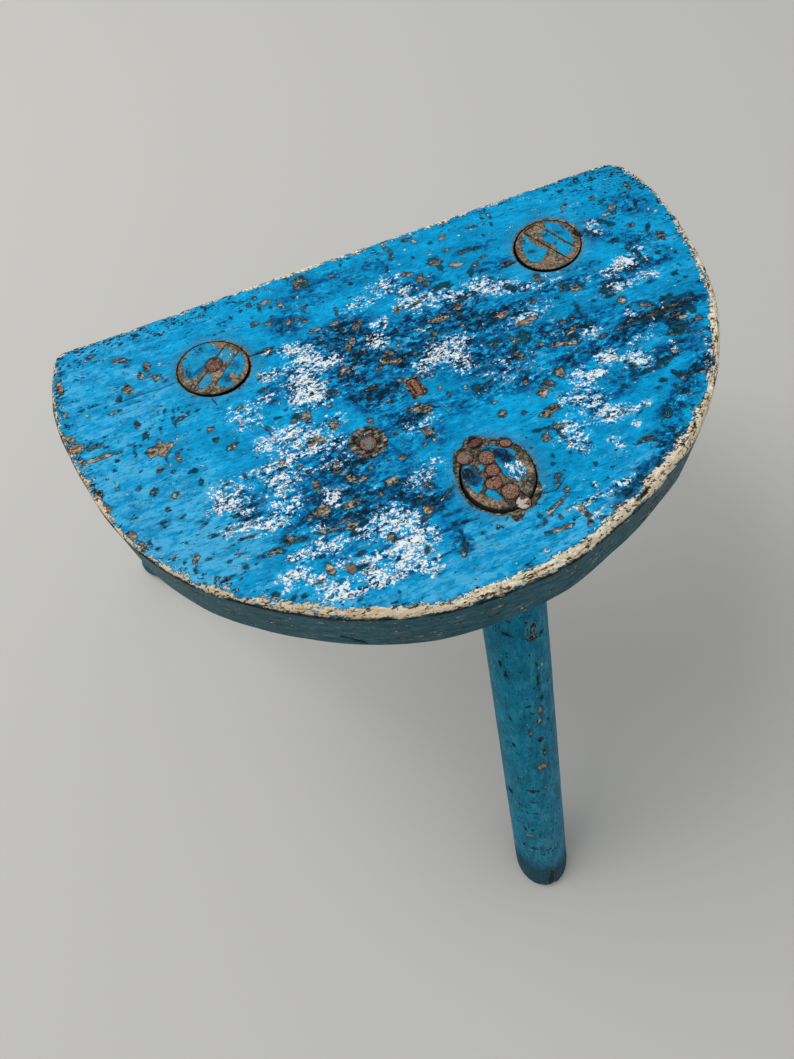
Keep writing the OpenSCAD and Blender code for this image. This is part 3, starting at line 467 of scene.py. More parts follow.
    (-12, -47, 1.2, 0.6, 0, 0.1, 0.8), (-15.5, -51, 0.6, 0.8, 0, 0.2, 0.6), (-16.5, -57, 1.4, 2.2, 0, 0.2, 0.7),
    (-18.5, -61, 1.3, 1.3, 0, 0.5, 0.1), (-25, -58, 4, 0.5, 5, 0.2, 0.7), (-31.5, -53, 1.3, 1.5, 0, 0.1, 0.7),
    (-66, -63, 1.3, 0.4, 20, 0.2, 0.7), (-49.5, -66.2, 0.6, 0.8, 0, 0.1, 0.7), (-29.5, -64.7, 0.7, 0.3, 0, 0.1, 0.9),
    (-57.5, -33.5, 1.8, 1.5, 0, 0.1, 0.8), (-52, -29.5, 2, 1.5, 0, 0.05, 0.9), (-58, -43.5, 1.8, 1, 0, 0.2, 0.6),
    (-32, -26, 1, 1, 0, 0.1, 0.7), (-12, -30.5, 2, 0.8, 20, 0.4, 0.3), (38, -22.7, 1.9, 1.9, 0, 0.5, 0.3),
    (45, -23, 0.9, 3.5, 0, 0.35, 0.5), (46, -28.5, 0.7, 1.5, 0, 0.3, 0.6), (44, -34.5, 0.6, 1.2, -20, 0.1, 0.8),
    (29.5, -25, 0.8, 0.8, 0, 0.2, 0.6), (36.5, -32.5, 0.6, 0.8, 0, 0.1, 0.6), (34.7, -36.3, 0.9, 0.7, 0, 0.2, 0.5),
    (33.7, -43, 1.8, 1.2, 10, 0.4, 0.25), (31.5, -46.7, 1.1, 1.4, 0, 0.4, 0.35), (34, -50.7, 1.2, 1.6, 0, 0.45, 0.3),
    (37, -41.5, 0.4, 0.5, 0, 0.1, 0.9), (51.5, -44, 1, 1, 0, 0, 0.7), (18, -57.5, 1, 1.3, 0, 0.3, 0.6),
    (22.7, -57.5, 1.8, 1.5, 10, 0.5, 0.2), (27, -55.5, 2.5, 0.6, 20, 0.5, 0.3), (31, -53.5, 2, 0.4, 15, 0.5, 0.3),
    (16, -61.5, 2, 0.6, 10, 0.4, 0.4), (19.3, -60.3, 0.9, 0.9, 0, 0.4, 0.5), (25.7, -61.5, 1, 1, 0, 0.4, 0.5),
    (17.5, -66.2, 1.3, 1, 0, 0.3, 0.5), (22, -66.7, 3, 1, 0, 0.4, 0.3), (26.7, -66.7, 1.8, 1.2, 0, 0.4, 0.35),
    (36, -61, 1.6, 1.8, 0, 0.6, 0.2), (36.7, -65, 1.2, 1.3, 0, 0.4, 0.3), (36, -68.7, 1.5, 1.3, 0, 0.5, 0.3),
    (-0.3, -55.3, 0.8, 0.8, 0, 0.2, 0.7), (9.7, -55.2, 0.5, 0.4, 0, 0.1, 0.9), (-7.5, -55, 1, 0.5, 0, 0.1, 0.7),
    (24.5, -51.5, 1.5, 0.4, 10, 0.4, 0.4), (30.5, -65, 0.5, 0.5, 0, 0.1, 0.9), (52, -52.5, 1.5, 0.3, 25, 0.1, 0.6),
    (65, -59, 1.8, 2, 0, 0.05, 0.9), (68, -60, 1.6, 1.6, 0, 0.05, 0.9), (61.5, -59.5, 0.8, 1, 0, 0.05, 0.9),
    (52, -60.5, 1.2, 0.8, 0, 0.3, 0.6), (57, -62, 3, 0.8, 10, 0.1, 0.7), (76, -24, 0.8, 1.5, -30, 0.1, 0.9),
    (92.5, -33.5, 2.4, 2.2, 0, 0.2, 0.75), (94.5, -31.5, 1, 1.5, 0, 0.1, 0.9), (101, -32.8, 1.3, 1.1, 0, 0.05, 0.9),
    (78, -41.3, 3, 1.7, 5, 0.35, 0.45), (73.5, -42, 2, 0.8, 0, 0.1, 0.9), (83, -40, 2, 0.7, 10, 0.1, 0.8),
    (88, -38, 0.7, 2, -10, 0.1, 0.7), (90, -41, 1, 2.5, 30, 0.1, 0.7), (83, -27.5, 3.5, 0.4, 30, 0.1, 0.6),
    (82, -45, 2, 0.4, -40, 0.2, 0.5), (96, -39, 0.8, 0.6, 0, 0.1, 0.9), (76, -55.5, 2.2, 1.5, 30, 0.2, 0.7),
    (90, -47, 1.2, 2, 0, 0.05, 0.8), (93, -45, 2, 1, 20, 0.05, 0.8), (98, -43.5, 1.6, 1, 0, 0.05, 0.8),
    (105, -34.5, 1, 0.8, 0, 0.1, 0.9), (104, -23, 1.2, 2, 0, 0.1, 0.8), (71, -58.5, 1.5, 0.8, 0, 0.05, 0.9),
    (83, -52, 1, 0.6, 0, 0.05, 0.8),
]
CRACKS = [
    ([(-72.5, 80.4), (-66, 80.2), (-58, 81)], 0.40), ([(-141, 80.4), (-128, 80.8), (-118, 80.0), (-107, 80.5)], 0.30), ([(-95.6, 63), (-94.4, 58.5)], 0.3),
    ([(75, 81), (69, 79.6), (63, 79)], 0.4), ([(-6, -48), (-16, -47), (-30, -49)], 0.25),
    ([(19, -47), (30, -49), (36, -45)], 0.3), ([(100, 20), (118, 20.5), (142, 20)], 0.5),
    ([(-10.4, -78), (-10.8, -84)], 0.3),
]


def ell_local(x, y, f):
    a = math.radians(f[4])
    ca, sa = math.cos(a), math.sin(a)
    dx, dy = x - f[0], y - f[1]
    return (dx * ca + dy * sa) / f[2], (-dx * sa + dy * ca) / f[3]


def soft_area(x, y, feats, core=0.35, reach=1.35):
    keep = np.ones(np.shape(x))
    for f in feats:
        m = (np.abs(x - f[0]) < 1.1 * reach * max(f[2], f[3])) & (np.abs(y - f[1]) < 1.1 * reach * max(f[2], f[3]))
        if not m.any():
            continue
        u, v = ell_local(x[m], y[m], f)
        rho = np.hypot(u, v)
        keep[m] *= 1 - f[5] * (1 - smooth(core, reach, rho))
    return 1 - keep


def ragged(phi, seed, jag):
    k = vnoise(np.cos(phi) * 1.7 + 5, np.sin(phi) * 1.7 + 5, seed) - 0.5
    k2 = vnoise(np.cos(phi) * 4.0 + 9, np.sin(phi) * 4.0 + 9, seed + 7) - 0.5
    return 1 + jag * k * 1.5 + jag * k2


def chip_sd(x, y, f, i):
    """Signed distance, roughly in mm, inside a ragged chip."""
    u, v = ell_local(x, y, f)
    b = ragged(np.arctan2(v, u), 100 + i, 0.5)
    return (1 - np.hypot(u, v) / b) * min(f[2], f[3])


def chip_ring(f, i, k):
    ph = np.arange(0, 2 * math.pi, min(0.62 / math.sqrt(f[2] * f[3]), 0.7))
    b = ragged(ph, 100 + i, 0.5) * k
    a = math.radians(f[4])
    u, v = b * np.cos(ph) * f[2], b * np.sin(ph) * f[3]
    return np.stack([f[0] + u * math.cos(a) - v * math.sin(a), f[1] + u * math.sin(a) + v * math.cos(a)], 1)


# nails: x, y, head radius, style
NAILS = {
    "left_tenon_nail": (-89.2, 83.1, 4.15, "dome"),
    "front_tenon_nail_1": (1.0, -17.3, 3.6, "ring"),
    "front_tenon_nail_2": (9.8, -21.1, 3.6, "flat"),
    "front_tenon_nail_3": (9.6, -28.2, 3.1, "flat"),
    "front_tenon_nail_4": (7.3, -34.4, 3.6, "heart"),
    "front_tenon_nail_5": (12.0, -41.2, 3.9, "flat"),
    "front_tenon_nail_6": (14.8, -48.5, 3.4, "chalky"),
    "front_tenon_nail_7": (8.3, -11.9, 3.2, "bent"),
    "front_tenon_nail_8": (20.6, -17.7, 2.5, "tilted"),
    "centre_seat_nail": (-35.8, 8.3, 3.9, "target"),
}
CUT = (-4.6, 28.3, 5.0, 2.5, -84.0)     # flat cut nail: x, y, half length, half width, angle
OLD_HOLE = (109.2, 84.6)                # an old nail came out here
TORN = [(22.5, -22), (25, -25), (27.5, -29), (28, -33), (26, -37), (25.5, -42), (25, -47), (20, -51.5), (13, -53),
        (10.5, -56), (8, -56), (6.5, -52), (2, -50), (-3, -46), (-6.5, -41), (-8, -34), (-7.6, -28), (-6.5, -22),
        (-5, -17), (-3, -13.5), (1, -12.5), (4, -9), (8, -8), (12, -10), (14, -13), (20, -14.5), (22.8, -18)]


def bruises(x, y):
    z = np.zeros(np.shape(x))
    for nx, ny, r, style in NAILS.values():
        rho = np.hypot(x - nx, y - ny)
        if style == "target":
            z -= 0.85 * (1 - smooth(r + 1.0, r + 4.6, rho)) - 0.25 * np.exp(-((rho - 8.6) / 0.9) ** 2)
        else:
            z -= 0.75 * (1 - smooth(r - 0.2, r + 0.9, rho))
    a = math.radians(CUT[4])
    u = (x - CUT[0]) * math.cos(a) + (y - CUT[1]) * math.sin(a)
    v = -(x - CUT[0]) * math.sin(a) + (y - CUT[1]) * math.cos(a)
    q = np.maximum(np.abs(u) / (CUT[2] + 0.5), np.abs(v) / (CUT[3] + 0.5))
    z -= 0.8 * (1 - smooth(0.92, 1.25, q))
    return z


def near_hole(x, y):
    dx, dy = x - OLD_HOLE[0], y - OLD_HOLE[1]
    ang = np.arctan2(dy, dx)
    r = 2.7 * ragged(ang, 77, 0.35) * (1 + 0.25 * np.cos(2 * (ang - math.radians(-60))))
    return r - np.hypot(dx, dy)


def worn_low(x, y, w):
    """How far below the face the bare wood of the worn edge reaches, in mm, and how rubbed the side is there."""
    th = unwrap(np.degrees(np.arctan2(y - CY, x - CX)))
    rub = smooth(-85, -40, th) * (1 - smooth(-5, 15, th))
    return w * (0.47 + 0.40 * rub) + 0.7 * (fbm(x / 6, y / 6, 23, 2) - 0.5), rub


def seam_line(x, y, deep, low, rub):
    """Dark line where the old paint of the side begins."""
    return 1.25 * np.exp(-((deep - low - 0.62) / 0.80) ** 2) * (1 - 0.55 * rub) * smooth(0.26, 0.42, fbm(x / 8, y / 8, 37, 3))


def top_surface(x, y, d, w):
    """Height of the worn top and its wear marks at points d mm in from the outline, where the worn edge is w wide."""
    t = np.clip(d / w, 0, 1)
    drop = 0.86 * w * (1 - np.sqrt(np.clip(1 - (1 - t) ** 2, 0, 1)))
    low, rub = worn_low(x, y, w)
    z = FACE - drop + 0.16 * (fbm(x / 34, y / 14, 3, 3) - 0.5) + 0.10 * (fbm(x / 9, y / 1.9, 9, 3) - 0.5)
    # dents and small losses along the worn edge
    ding = smooth(0.62, 0.78, fbm(x / 5.5, y / 5.5, 21, 3)) * (1 - smooth(0.3, 1.6, d / w))
    z = z - 0.7 * ding
    chip, shade, dark = np.full(np.shape(x), -3.0), np.zeros(np.shape(x)), np.zeros(np.shape(x))
    for i, f in enumerate(CHIPS):
        reach = 1.6 * max(f[2], f[3]) + 1.5
        m = (np.abs(x - f[0]) < reach) & (np.abs(y - f[1]) < reach)
        if not m.any():
            continue
        sd = chip_sd(x[m], y[m], f, i)
        rough = 0.5 + 1.0 * fbm(x[m] / 5.0, y[m] / 1.1, 40 + i, 3)
        z[m] -= min(0.20 + 0.10 * min(f[2], f[3]), 0.5) * smooth(-0.15, 0.35, sd) * rough
        near = sd > chip[m]
        shade[m] = np.where(near, f[5], shade[m])
        dark[m] = np.where(near, f[6], dark[m])
        chip[m] = np.maximum(chip[m], sd)
    crack = np.zeros(np.shape(x))
    for pts, h in CRACKS:
        px, py = np.array(pts).T
        m = (x > px.min() - 3) & (x < px.max() + 3) & (y > py.min() - 3) & (y < py.max() + 3)
        if not m.any():
            continue
        dd, at = seg_dist(x[m], y[m], pts)
        hh = h * (0.55 + 0.9 * vnoise(x[m] / 2.3, y[m] / 2.3, 8)) * (1 - 0.75 * np.abs(2 * at - 1) ** 3)
        c = 1 - smooth(hh * 0.7, hh * 1.6 + 0.12, dd)
        crack[m] = np.maximum(crack[m], c)
        z[m] -= 0.55 * c
    # round the leg tops
    rim, dirt = np.full(np.shape(x), -3.0), np.zeros(np.shape(x))
    for name, L in LEGS.items():
        e = ell_r(x, y, L["c"], L["turn"], BORE_R)
        k = round_angle(x, y, L["c"], L["gap_at"])
        z -= (0.30 + 0.35 * k ** 2) * (1 - smooth(0.0, 0.95, e))
        wide = {"left": 0.55 + 0.5 * k, "right": 0.65 + 0.55 * (1 - k), "front": 0.8 + 0.4 * k}[name]
        rim = np.maximum(rim, 0.7 * wide * (0.5 + fbm(x / 2.5, y / 2.5, 61, 2)) - np.maximum(e, 0))
        shade = np.maximum(shade, (0.45 if name == "front" else 0.7) * (1 - smooth(0.8, 2.0, e)))
        dirt = np.maximum(dirt, (1 - smooth(0.5, 7.5, e)) * (0.75 if name == "front" else 0.6))
    sd = poly_sd(x, y, TORN) + 1.2 * (fbm(x / 2.2, y / 2.2, 71, 3) - 0.5)
    rim = np.maximum(rim, sd * 0.9)
    z -= 0.35 * smooth(-0.2, 0.9, sd)
    z += bruises(x, y)
    hole = near_hole(x, y)
    z -= 2.6 * smooth(-0.25, 1.7, hole)
    # painted shade: dark round the rims of the nail heads and the cut nail, and in the old nail hole
    nail_dirt = np.zeros(np.shape(x))
    for nx, ny, r, style in NAILS.values():
        rho = np.hypot(x - nx, y - ny)
        nail_dirt = np.maximum(nail_dirt, 1 - smooth(r - 0.1, r + (0.9 if style != "target" else 1.3), rho))
    target = np.hypot(x - NAILS["centre_seat_nail"][0], y - NAILS["centre_seat_nail"][1])
    ring = 1 - np.abs(target - 6.4 - 1.6 * (fbm(x / 3, y / 3, 91, 2) - 0.5)) / 2.5
    rim = np.maximum(rim, np.clip(ring, -2, 1) * 1.1)
    a = math.radians(CUT[4])
    u = np.abs((x - CUT[0]) * math.cos(a) + (y - CUT[1]) * math.sin(a)) - CUT[2]
    v = np.abs(-(x - CUT[0]) * math.sin(a) + (y - CUT[1]) * math.cos(a)) - CUT[3]
    q = np.maximum(u, v)
    nail_dirt = np.maximum(nail_dirt, 1 - smooth(-0.2, 0.6, q))
    rim = np.maximum(rim, 1.5 - q + 1.2 * (fbm(x / 2, y / 2, 93, 2) - 0.5))
    back = 1 - smooth(2, 16, BACK - y)
    left = 1 - smooth(4, 24, d) * 1.0
    left = left * smooth(20, 80, y) * (x < -60)
    right = smooth(95, 140, x) * smooth(40, 90, y)
    at = dict(
        white=soft_area(x, y, WHITE, 0.2, 1.55), navy=soft_area(x, y, NAVY),
        chip=np.clip(0.5 + 0.30 * chip, 0, 1), shade=shade, dark=dark,
        bare=np.clip(np.minimum(0.5 + 0.22 * (w * (1.02 - 0.42 * smooth(60, 135, -x)) - d), 0.5 + 0.30 * (low - drop)), 0, 1),
        crack=np.clip(np.maximum(crack, seam_line(x, y, drop, low, rub) * smooth(0.2, 0.8, drop)), 0, 1), rim=np.clip(0.5 + 0.45 * rim, 0, 1), dirt=dirt,
        pit=np.clip(np.maximum(nail_dirt, smooth(0.0, 1.3, hole)), 0, 1),
        speck=np.clip(0.14 + 0.42 * back + 0.34 * left + 0.42 * right + 0.5 * (1 - smooth(0.2, 6, d - w)) * (1 - back), 0, 1),
        # pale: a broad wash over the left of the top and towards the front, part painted sheen and part paler paint,
        # with patches of paler paint
        pale=np.clip(smooth(60, 150, -x) * 0.60 + 0.6 * smooth(35, 72, -y) * (1 - smooth(90, 130, np.abs(x)))
                     + 0.55 * np.exp(-((x + 112) / 26) ** 2 - ((y + 8) / 26) ** 2) + 0.35 * np.exp(-((x - 70) / 22) ** 2 - ((y + 40) / 18) ** 2)
                     + 0.25 * smooth(0.5, 0.8, fbm(x / 28, y / 10, 15, 3)), 0, 1),
        side=np.maximum(smooth(-1.2, -0.3, drop - low) * smooth(0.3, 1.0, drop), smooth(-0.1, 0.4, drop - low)), under=np.zeros(np.shape(x)), run=edge_run(x, y), inset=d,
    )
    return np.minimum(z, H - 0.01), at


SIDE_SLIT = [(-116.5, 23.4), (-115.6, 25.2), (-114.6, 27.4), (-113.4, 30.0)]   # angle round the centre, depth below the top


def build_seat(material):
    rng = np.random.default_rng(4)
    B = Build()
    P, N = seat_outline(1.1)
    n = len(P)
    _, w0, _ = edge_field(P[:, 0] - 0.01 * N[:, 0], P[:, 1] - 0.01 * N[:, 1])
    for _ in range(6):
        w0 = (np.roll(w0, 1) + 2 * w0 + np.roll(w0, -1)) / 4
    fr = [0.0, 0.012, 0.03, 0.055, 0.09, 0.14, 0.20, 0.28, 0.37, 0.48, 0.65, 0.85, 1.0]
    ring_xy = [P - N * (w0 * f)[:, None] for f in fr]
    xy, dd, ww = [], [], []
    for f, r in zip(fr, ring_xy):
        xy.append(r); dd.append(w0 * f); ww.append(w0)
    # points over the flat face
    def hexes(s, x0, x1, y0, y1):
        ys = np.arange(y0, y1, s * 0.866)
        out = []
        for k, yy in enumerate(ys):
            xs = np.arange(x0 + (k % 2) * s / 2, x1, s)
            out.append(np.stack([xs, np.full(len(xs), yy)], 1))
        g = np.concatenate(out)
        return g + rng.uniform(-0.24, 0.24, g.shape) * s
    loops_b = {}
    fixed = []
    m = 156
    for name, L in LEGS.items():
        ph = np.arange(m) * 2 * math.pi / m
        probe = ellipse(L["c"], L["turn"], BORE_R, m)
        k = round_angle(probe[:, 0], probe[:, 1], L["c"], L["gap_at"])
        wear = 0.12 + 0.45 * k ** 2 + 0.22 * (fbm(probe[:, 0] / 2, probe[:, 1] / 2, 51, 2) - 0.4)
        loops_b[name] = (ellipse(L["c"], L["turn"], BORE_R, m, np.clip(wear, 0.05, None)), wear)
        for g in (0.42, 0.95):
            fixed.append(ellipse(L["c"], L["turn"], BORE_R, m, np.clip(wear, 0.05, None) + g))
    extra = []
    for i, f in enumerate(CHIPS):
        r0 = min(f[2], f[3])
        for k in (1.0, 1.0 + 0.5 / r0) + ((1.0 - 0.5 / r0,) if r0 > 0.9 else ()):
            extra.append(chip_ring(f, i, k))
        extra.append(np.array([[f[0], f[1]]]))
    for pts, h in CRACKS:
        pts = np.array(pts, float)
        ln = np.hypot(*(pts[1:] - pts[:-1]).T)
        cum = np.concatenate([[0], np.cumsum(ln)])
        s = np.arange(0, cum[-1], 0.55)
        c = np.stack([np.interp(s, cum, pts[:, 0]), np.interp(s, cum, pts[:, 1])], 1)
        t = np.gradient(c, axis=0)
        nn = np.stack([-t[:, 1], t[:, 0]], 1) / np.maximum(np.hypot(*t.T), 1e-9)[:, None]
        for o in (0.0, 0.55, -0.55):
            extra.append(c + nn * o)
    for nx, ny, r, style in NAILS.values():
        for k in (r - 0.3, r + 0.4, r + 1.0):
            ph = np.arange(0, 2 * math.pi, 0.55 / k)
            extra.append(np.stack([nx + k * np.cos(ph), ny + k * np.sin(ph)], 1))
    for k in (0.6, 1.3, 2.0, 2.7, 3.4):
        ph = np.arange(0, 2 * math.pi, 0.5 / k)
        extra.append(np.stack([OLD_HOLE[0] + k * np.cos(ph), OLD_HOLE[1] + k * np.sin(ph)], 1))
    fine = np.concatenate([hexes(0.72, L["c"][0] - 27, L["c"][0] + 27, L["c"][1] - 27, L["c"][1] + 27) for L in LEGS.values()])
    keep = np.zeros(len(fine), bool)
    for L in LEGS.values():
        keep |= ell_r(fine[:, 0], fine[:, 1], L["c"], L["turn"], BORE_R) < 6
    coarse = hexes(1.22, -172, 162, -86, 127)
    far = np.ones(len(coarse), bool)
    for L in LEGS.values():
        far &= ell_r(coarse[:, 0], coarse[:, 1], L["c"], L["turn"], BORE_R) > 6.4
    taken = KDTree(60000)
    count = 0
    picked = []
    ordered = fixed + [np.concatenate(extra)] + [fine[keep]] + [coarse[far]]
    gaps = [0.0] * len(fixed) + [0.42, 0.50, 0.72]
    grid = {}
    def free(p, gap):
        ix, iy = int(p[0] // 1.0), int(p[1] // 1.0)
        for a in (ix - 1, ix, ix + 1):
            for b in (iy - 1, iy, iy + 1):
                for q in grid.get((a, b), ()):
                    if (q[0] - p[0]) ** 2 + (q[1] - p[1]) ** 2 < gap * gap:
                        return False
        return True
    for group, gap in zip(ordered, gaps):
        d, w, _ = edge_field(group[:, 0], group[:, 1])
        ok = d > w + 0.75
        for L in LEGS.values():
            e = ell_r(group[:, 0], group[:, 1], L["c"], L["turn"], BORE_R)
            k = round_angle(group[:, 0], group[:, 1], L["c"], L["gap_at"])
            ok &= e > 0.12 + 0.45 * k ** 2 + 0.22 * 0.6 + (0.2 if gap == 0 else 0.32)
        for p in group[ok]:
            if gap == 0 or free(p, gap):
                picked.append((p[0], p[1]))
                grid.setdefault((int(p[0] // 1.0), int(p[1] // 1.0)), []).append(p)
    inner = np.array(picked)
    d_in, w_in, _ = edge_field(inner[:, 0], inner[:, 1])
    xy.append(inner); dd.append(d_in); ww.append(w_in)
    for name in LEGS:
        lp = loops_b[name][0]
        d, w, _ = edge_field(lp[:, 0], lp[:, 1])
        xy.append(lp); dd.append(d); ww.append(w)
    XY, D, W = np.concatenate(xy), np.concatenate(dd), np.concatenate(ww)
    Z, at = top_surface(XY[:, 0], XY[:, 1], D, W)
    Z[:n] = np.minimum(Z[:n], FACE - 0.5)
    idx = B.add(np.column_stack([XY, Z]))
    rings = [idx[i * n:(i + 1) * n] for i in range(len(fr))]
    for a, b in zip(rings, rings[1:]):
        B.strip(a, b)
    o = len(fr) * n
    loc_outer = np.arange(n)
    base = (len(fr) - 1) * n
    flat_idx = np.concatenate([rings[-1], idx[o:]])
    flat_xy = XY[flat_idx]
    k0 = n + len(inner)
    bl = [np.arange(k0 + j * m, k0 + (j + 1) * m) for j in range(3)]
    tri = cdt(flat_xy, [loc_outer] + bl)
    B.tris(flat_idx[tri])
    attrs = {k: [v] for k, v in at.items()}

    def more(pts, **kw):
        i = B.add(pts)
        for k in attrs:
            v = kw.get(k, 0.0)
            attrs[k].append(np.broadcast_to(np.asarray(v, float), (len(pts),)).copy())
        return i

    # sawn side wall
    z_top = Z[:n]
    th = unwrap(np.degrees(np.arctan2(P[:, 1] - CY, P[:, 0] - CX)))
    arc_s = np.concatenate([[0], np.cumsum(np.hypot(*(np.roll(P, -1, 0) - P).T))])[:n]
    run = edge_run(P[:, 0] - 0.01 * N[:, 0], P[:, 1] - 0.01 * N[:, 1])
    rows = [0.015, 0.03, 0.045, 0.06, 0.075, 0.09, 0.11, 0.135] + list(np.linspace(0.165, 1.0, 23))
    prev = rings[0]
    z_bot = H - T + 2.3
    for f in rows:
        z = z_top * (1 - f) + z_bot * f
        off = 0.30 * (fbm(arc_s / 14, z / 2.2, 33, 4) - 0.5) + 0.35 * (fbm(arc_s / 60, z / 30, 34, 2) - 0.5)
        slit = np.zeros(n)
        dd2, at2 = seg_dist(th * 2.88, H - z, [(a * 2.88, b) for a, b in SIDE_SLIT])
        slit = 1 - smooth(0.5 + 0.6 * at2, 1.1 + 0.7 * at2, dd2)
        off -= 0.9 * slit
        ring = P + N * off[:, None]
        low, rub = worn_low(P[:, 0], P[:, 1], w0)
        band = np.clip(0.5 + 0.30 * (low - 0.86 * w0 - (z_top - z)), 0, 1)
        depth = z_top - z
        seam = seam_line(P[:, 0], P[:, 1], 0.86 * w0 + depth, low, rub)
        cur = more(np.column_stack([ring, z]), side=1.0, run=run, bare=band, crack=np.clip(np.maximum(slit, seam), 0, 1), speck=0.30, shade=0.15 + 0.3 * rub,
                   dirt=0.25 * smooth(0.5, 1, f), chip=np.clip(0.5 + 0.9 * (fbm(arc_s / 13, z / 1.6, 35, 3) - 0.70 + 0.13 * rub), 0, 1))
        B.strip(prev, cur, flip=True)
        prev = cur
    for d, dz in ((0.25, 0.9), (0.9, 1.7), (1.8, 2.2), (2.8, 2.3)):
        cur = more(np.column_stack([P - N * d, np.full(n, z_bot - dz)]), side=1.0, run=run, inset=d, under=smooth(0, 2.3, d), bare=0.45, speck=0.3)
        B.strip(prev, cur, flip=True)
        prev = cur
    # bore walls and underside
    low_loops = []
    for j, (name, L) in enumerate(LEGS.items()):
        top = idx[len(fr) * n + len(inner) + j * m: len(fr) * n + len(inner) + (j + 1) * m]
        prev2 = top
        wear = np.clip(loops_b[name][1], 0.05, None)
        # the bore walls are painted dark as shade in the gap, darkest near the top
        for level, g in ((0.9, 0.55), (2.0, 0.25), (4.5, 0.05), (10, 0.0), (20, 0.0), (30, 0.0), (34.3, 0.05), (34.9, 0.35)):
            e = ellipse(L["c"], L["turn"], BORE_R, m, wear * g + 0.02, level)
            cur = more(np.column_stack([e, np.full(m, H - level)]), pit=0.55 if level < 5 else 0.2, rim=1.0, under=float(level > 30))
            B.strip(prev2, cur)
            prev2 = cur
        low_loops.append((prev2, e))
    zb = H - T
    outer_xy = P - N * 2.8
    pts = hexes(4.2, -172, 162, -86, 127)
    d, w, _ = edge_field(pts[:, 0], pts[:, 1])
    ok = d > 6.0
    for L in LEGS.values():
        t = math.radians(L["turn"])
        c = (L["c"][0] + T * TAN * math.cos(t), L["c"][1] + T * TAN * math.sin(t))
        ok &= ell_r(pts[:, 0], pts[:, 1], c, L["turn"], BORE_R) > 2.2
    pts = pts[ok]
    bz = zb + 0.05 + 0.22 * fbm(pts[:, 0] / 40, pts[:, 1] / 3.5, 44, 3)
    ii = more(np.column_stack([pts, bz]), under=1.0, speck=0.2)
    all_xy = np.concatenate([outer_xy, pts] + [e for _, e in low_loops])
    all_id = np.concatenate([prev, ii] + [i for i, _ in low_loops])
    k0 = n + len(pts)
    tri = cdt(all_xy, [np.arange(n)] + [np.arange(k0 + j * m, k0 + (j + 1) * m) for j in range(3)])
    B.tris(all_id[tri], flip=True)
    co = np.concatenate(B.pts)
    ob = B.make("seat", {k: np.concatenate(v) for k, v in attrs.items()}, material)
    vector_attr(ob, "gco", co)
    return ob


def vector_attr(ob, name, v):
    at = ob.data.attributes.new(name, "FLOAT_VECTOR", "POINT")
    at.data.foreach_set("vector", np.ascontiguousarray(v, np.float32).ravel())
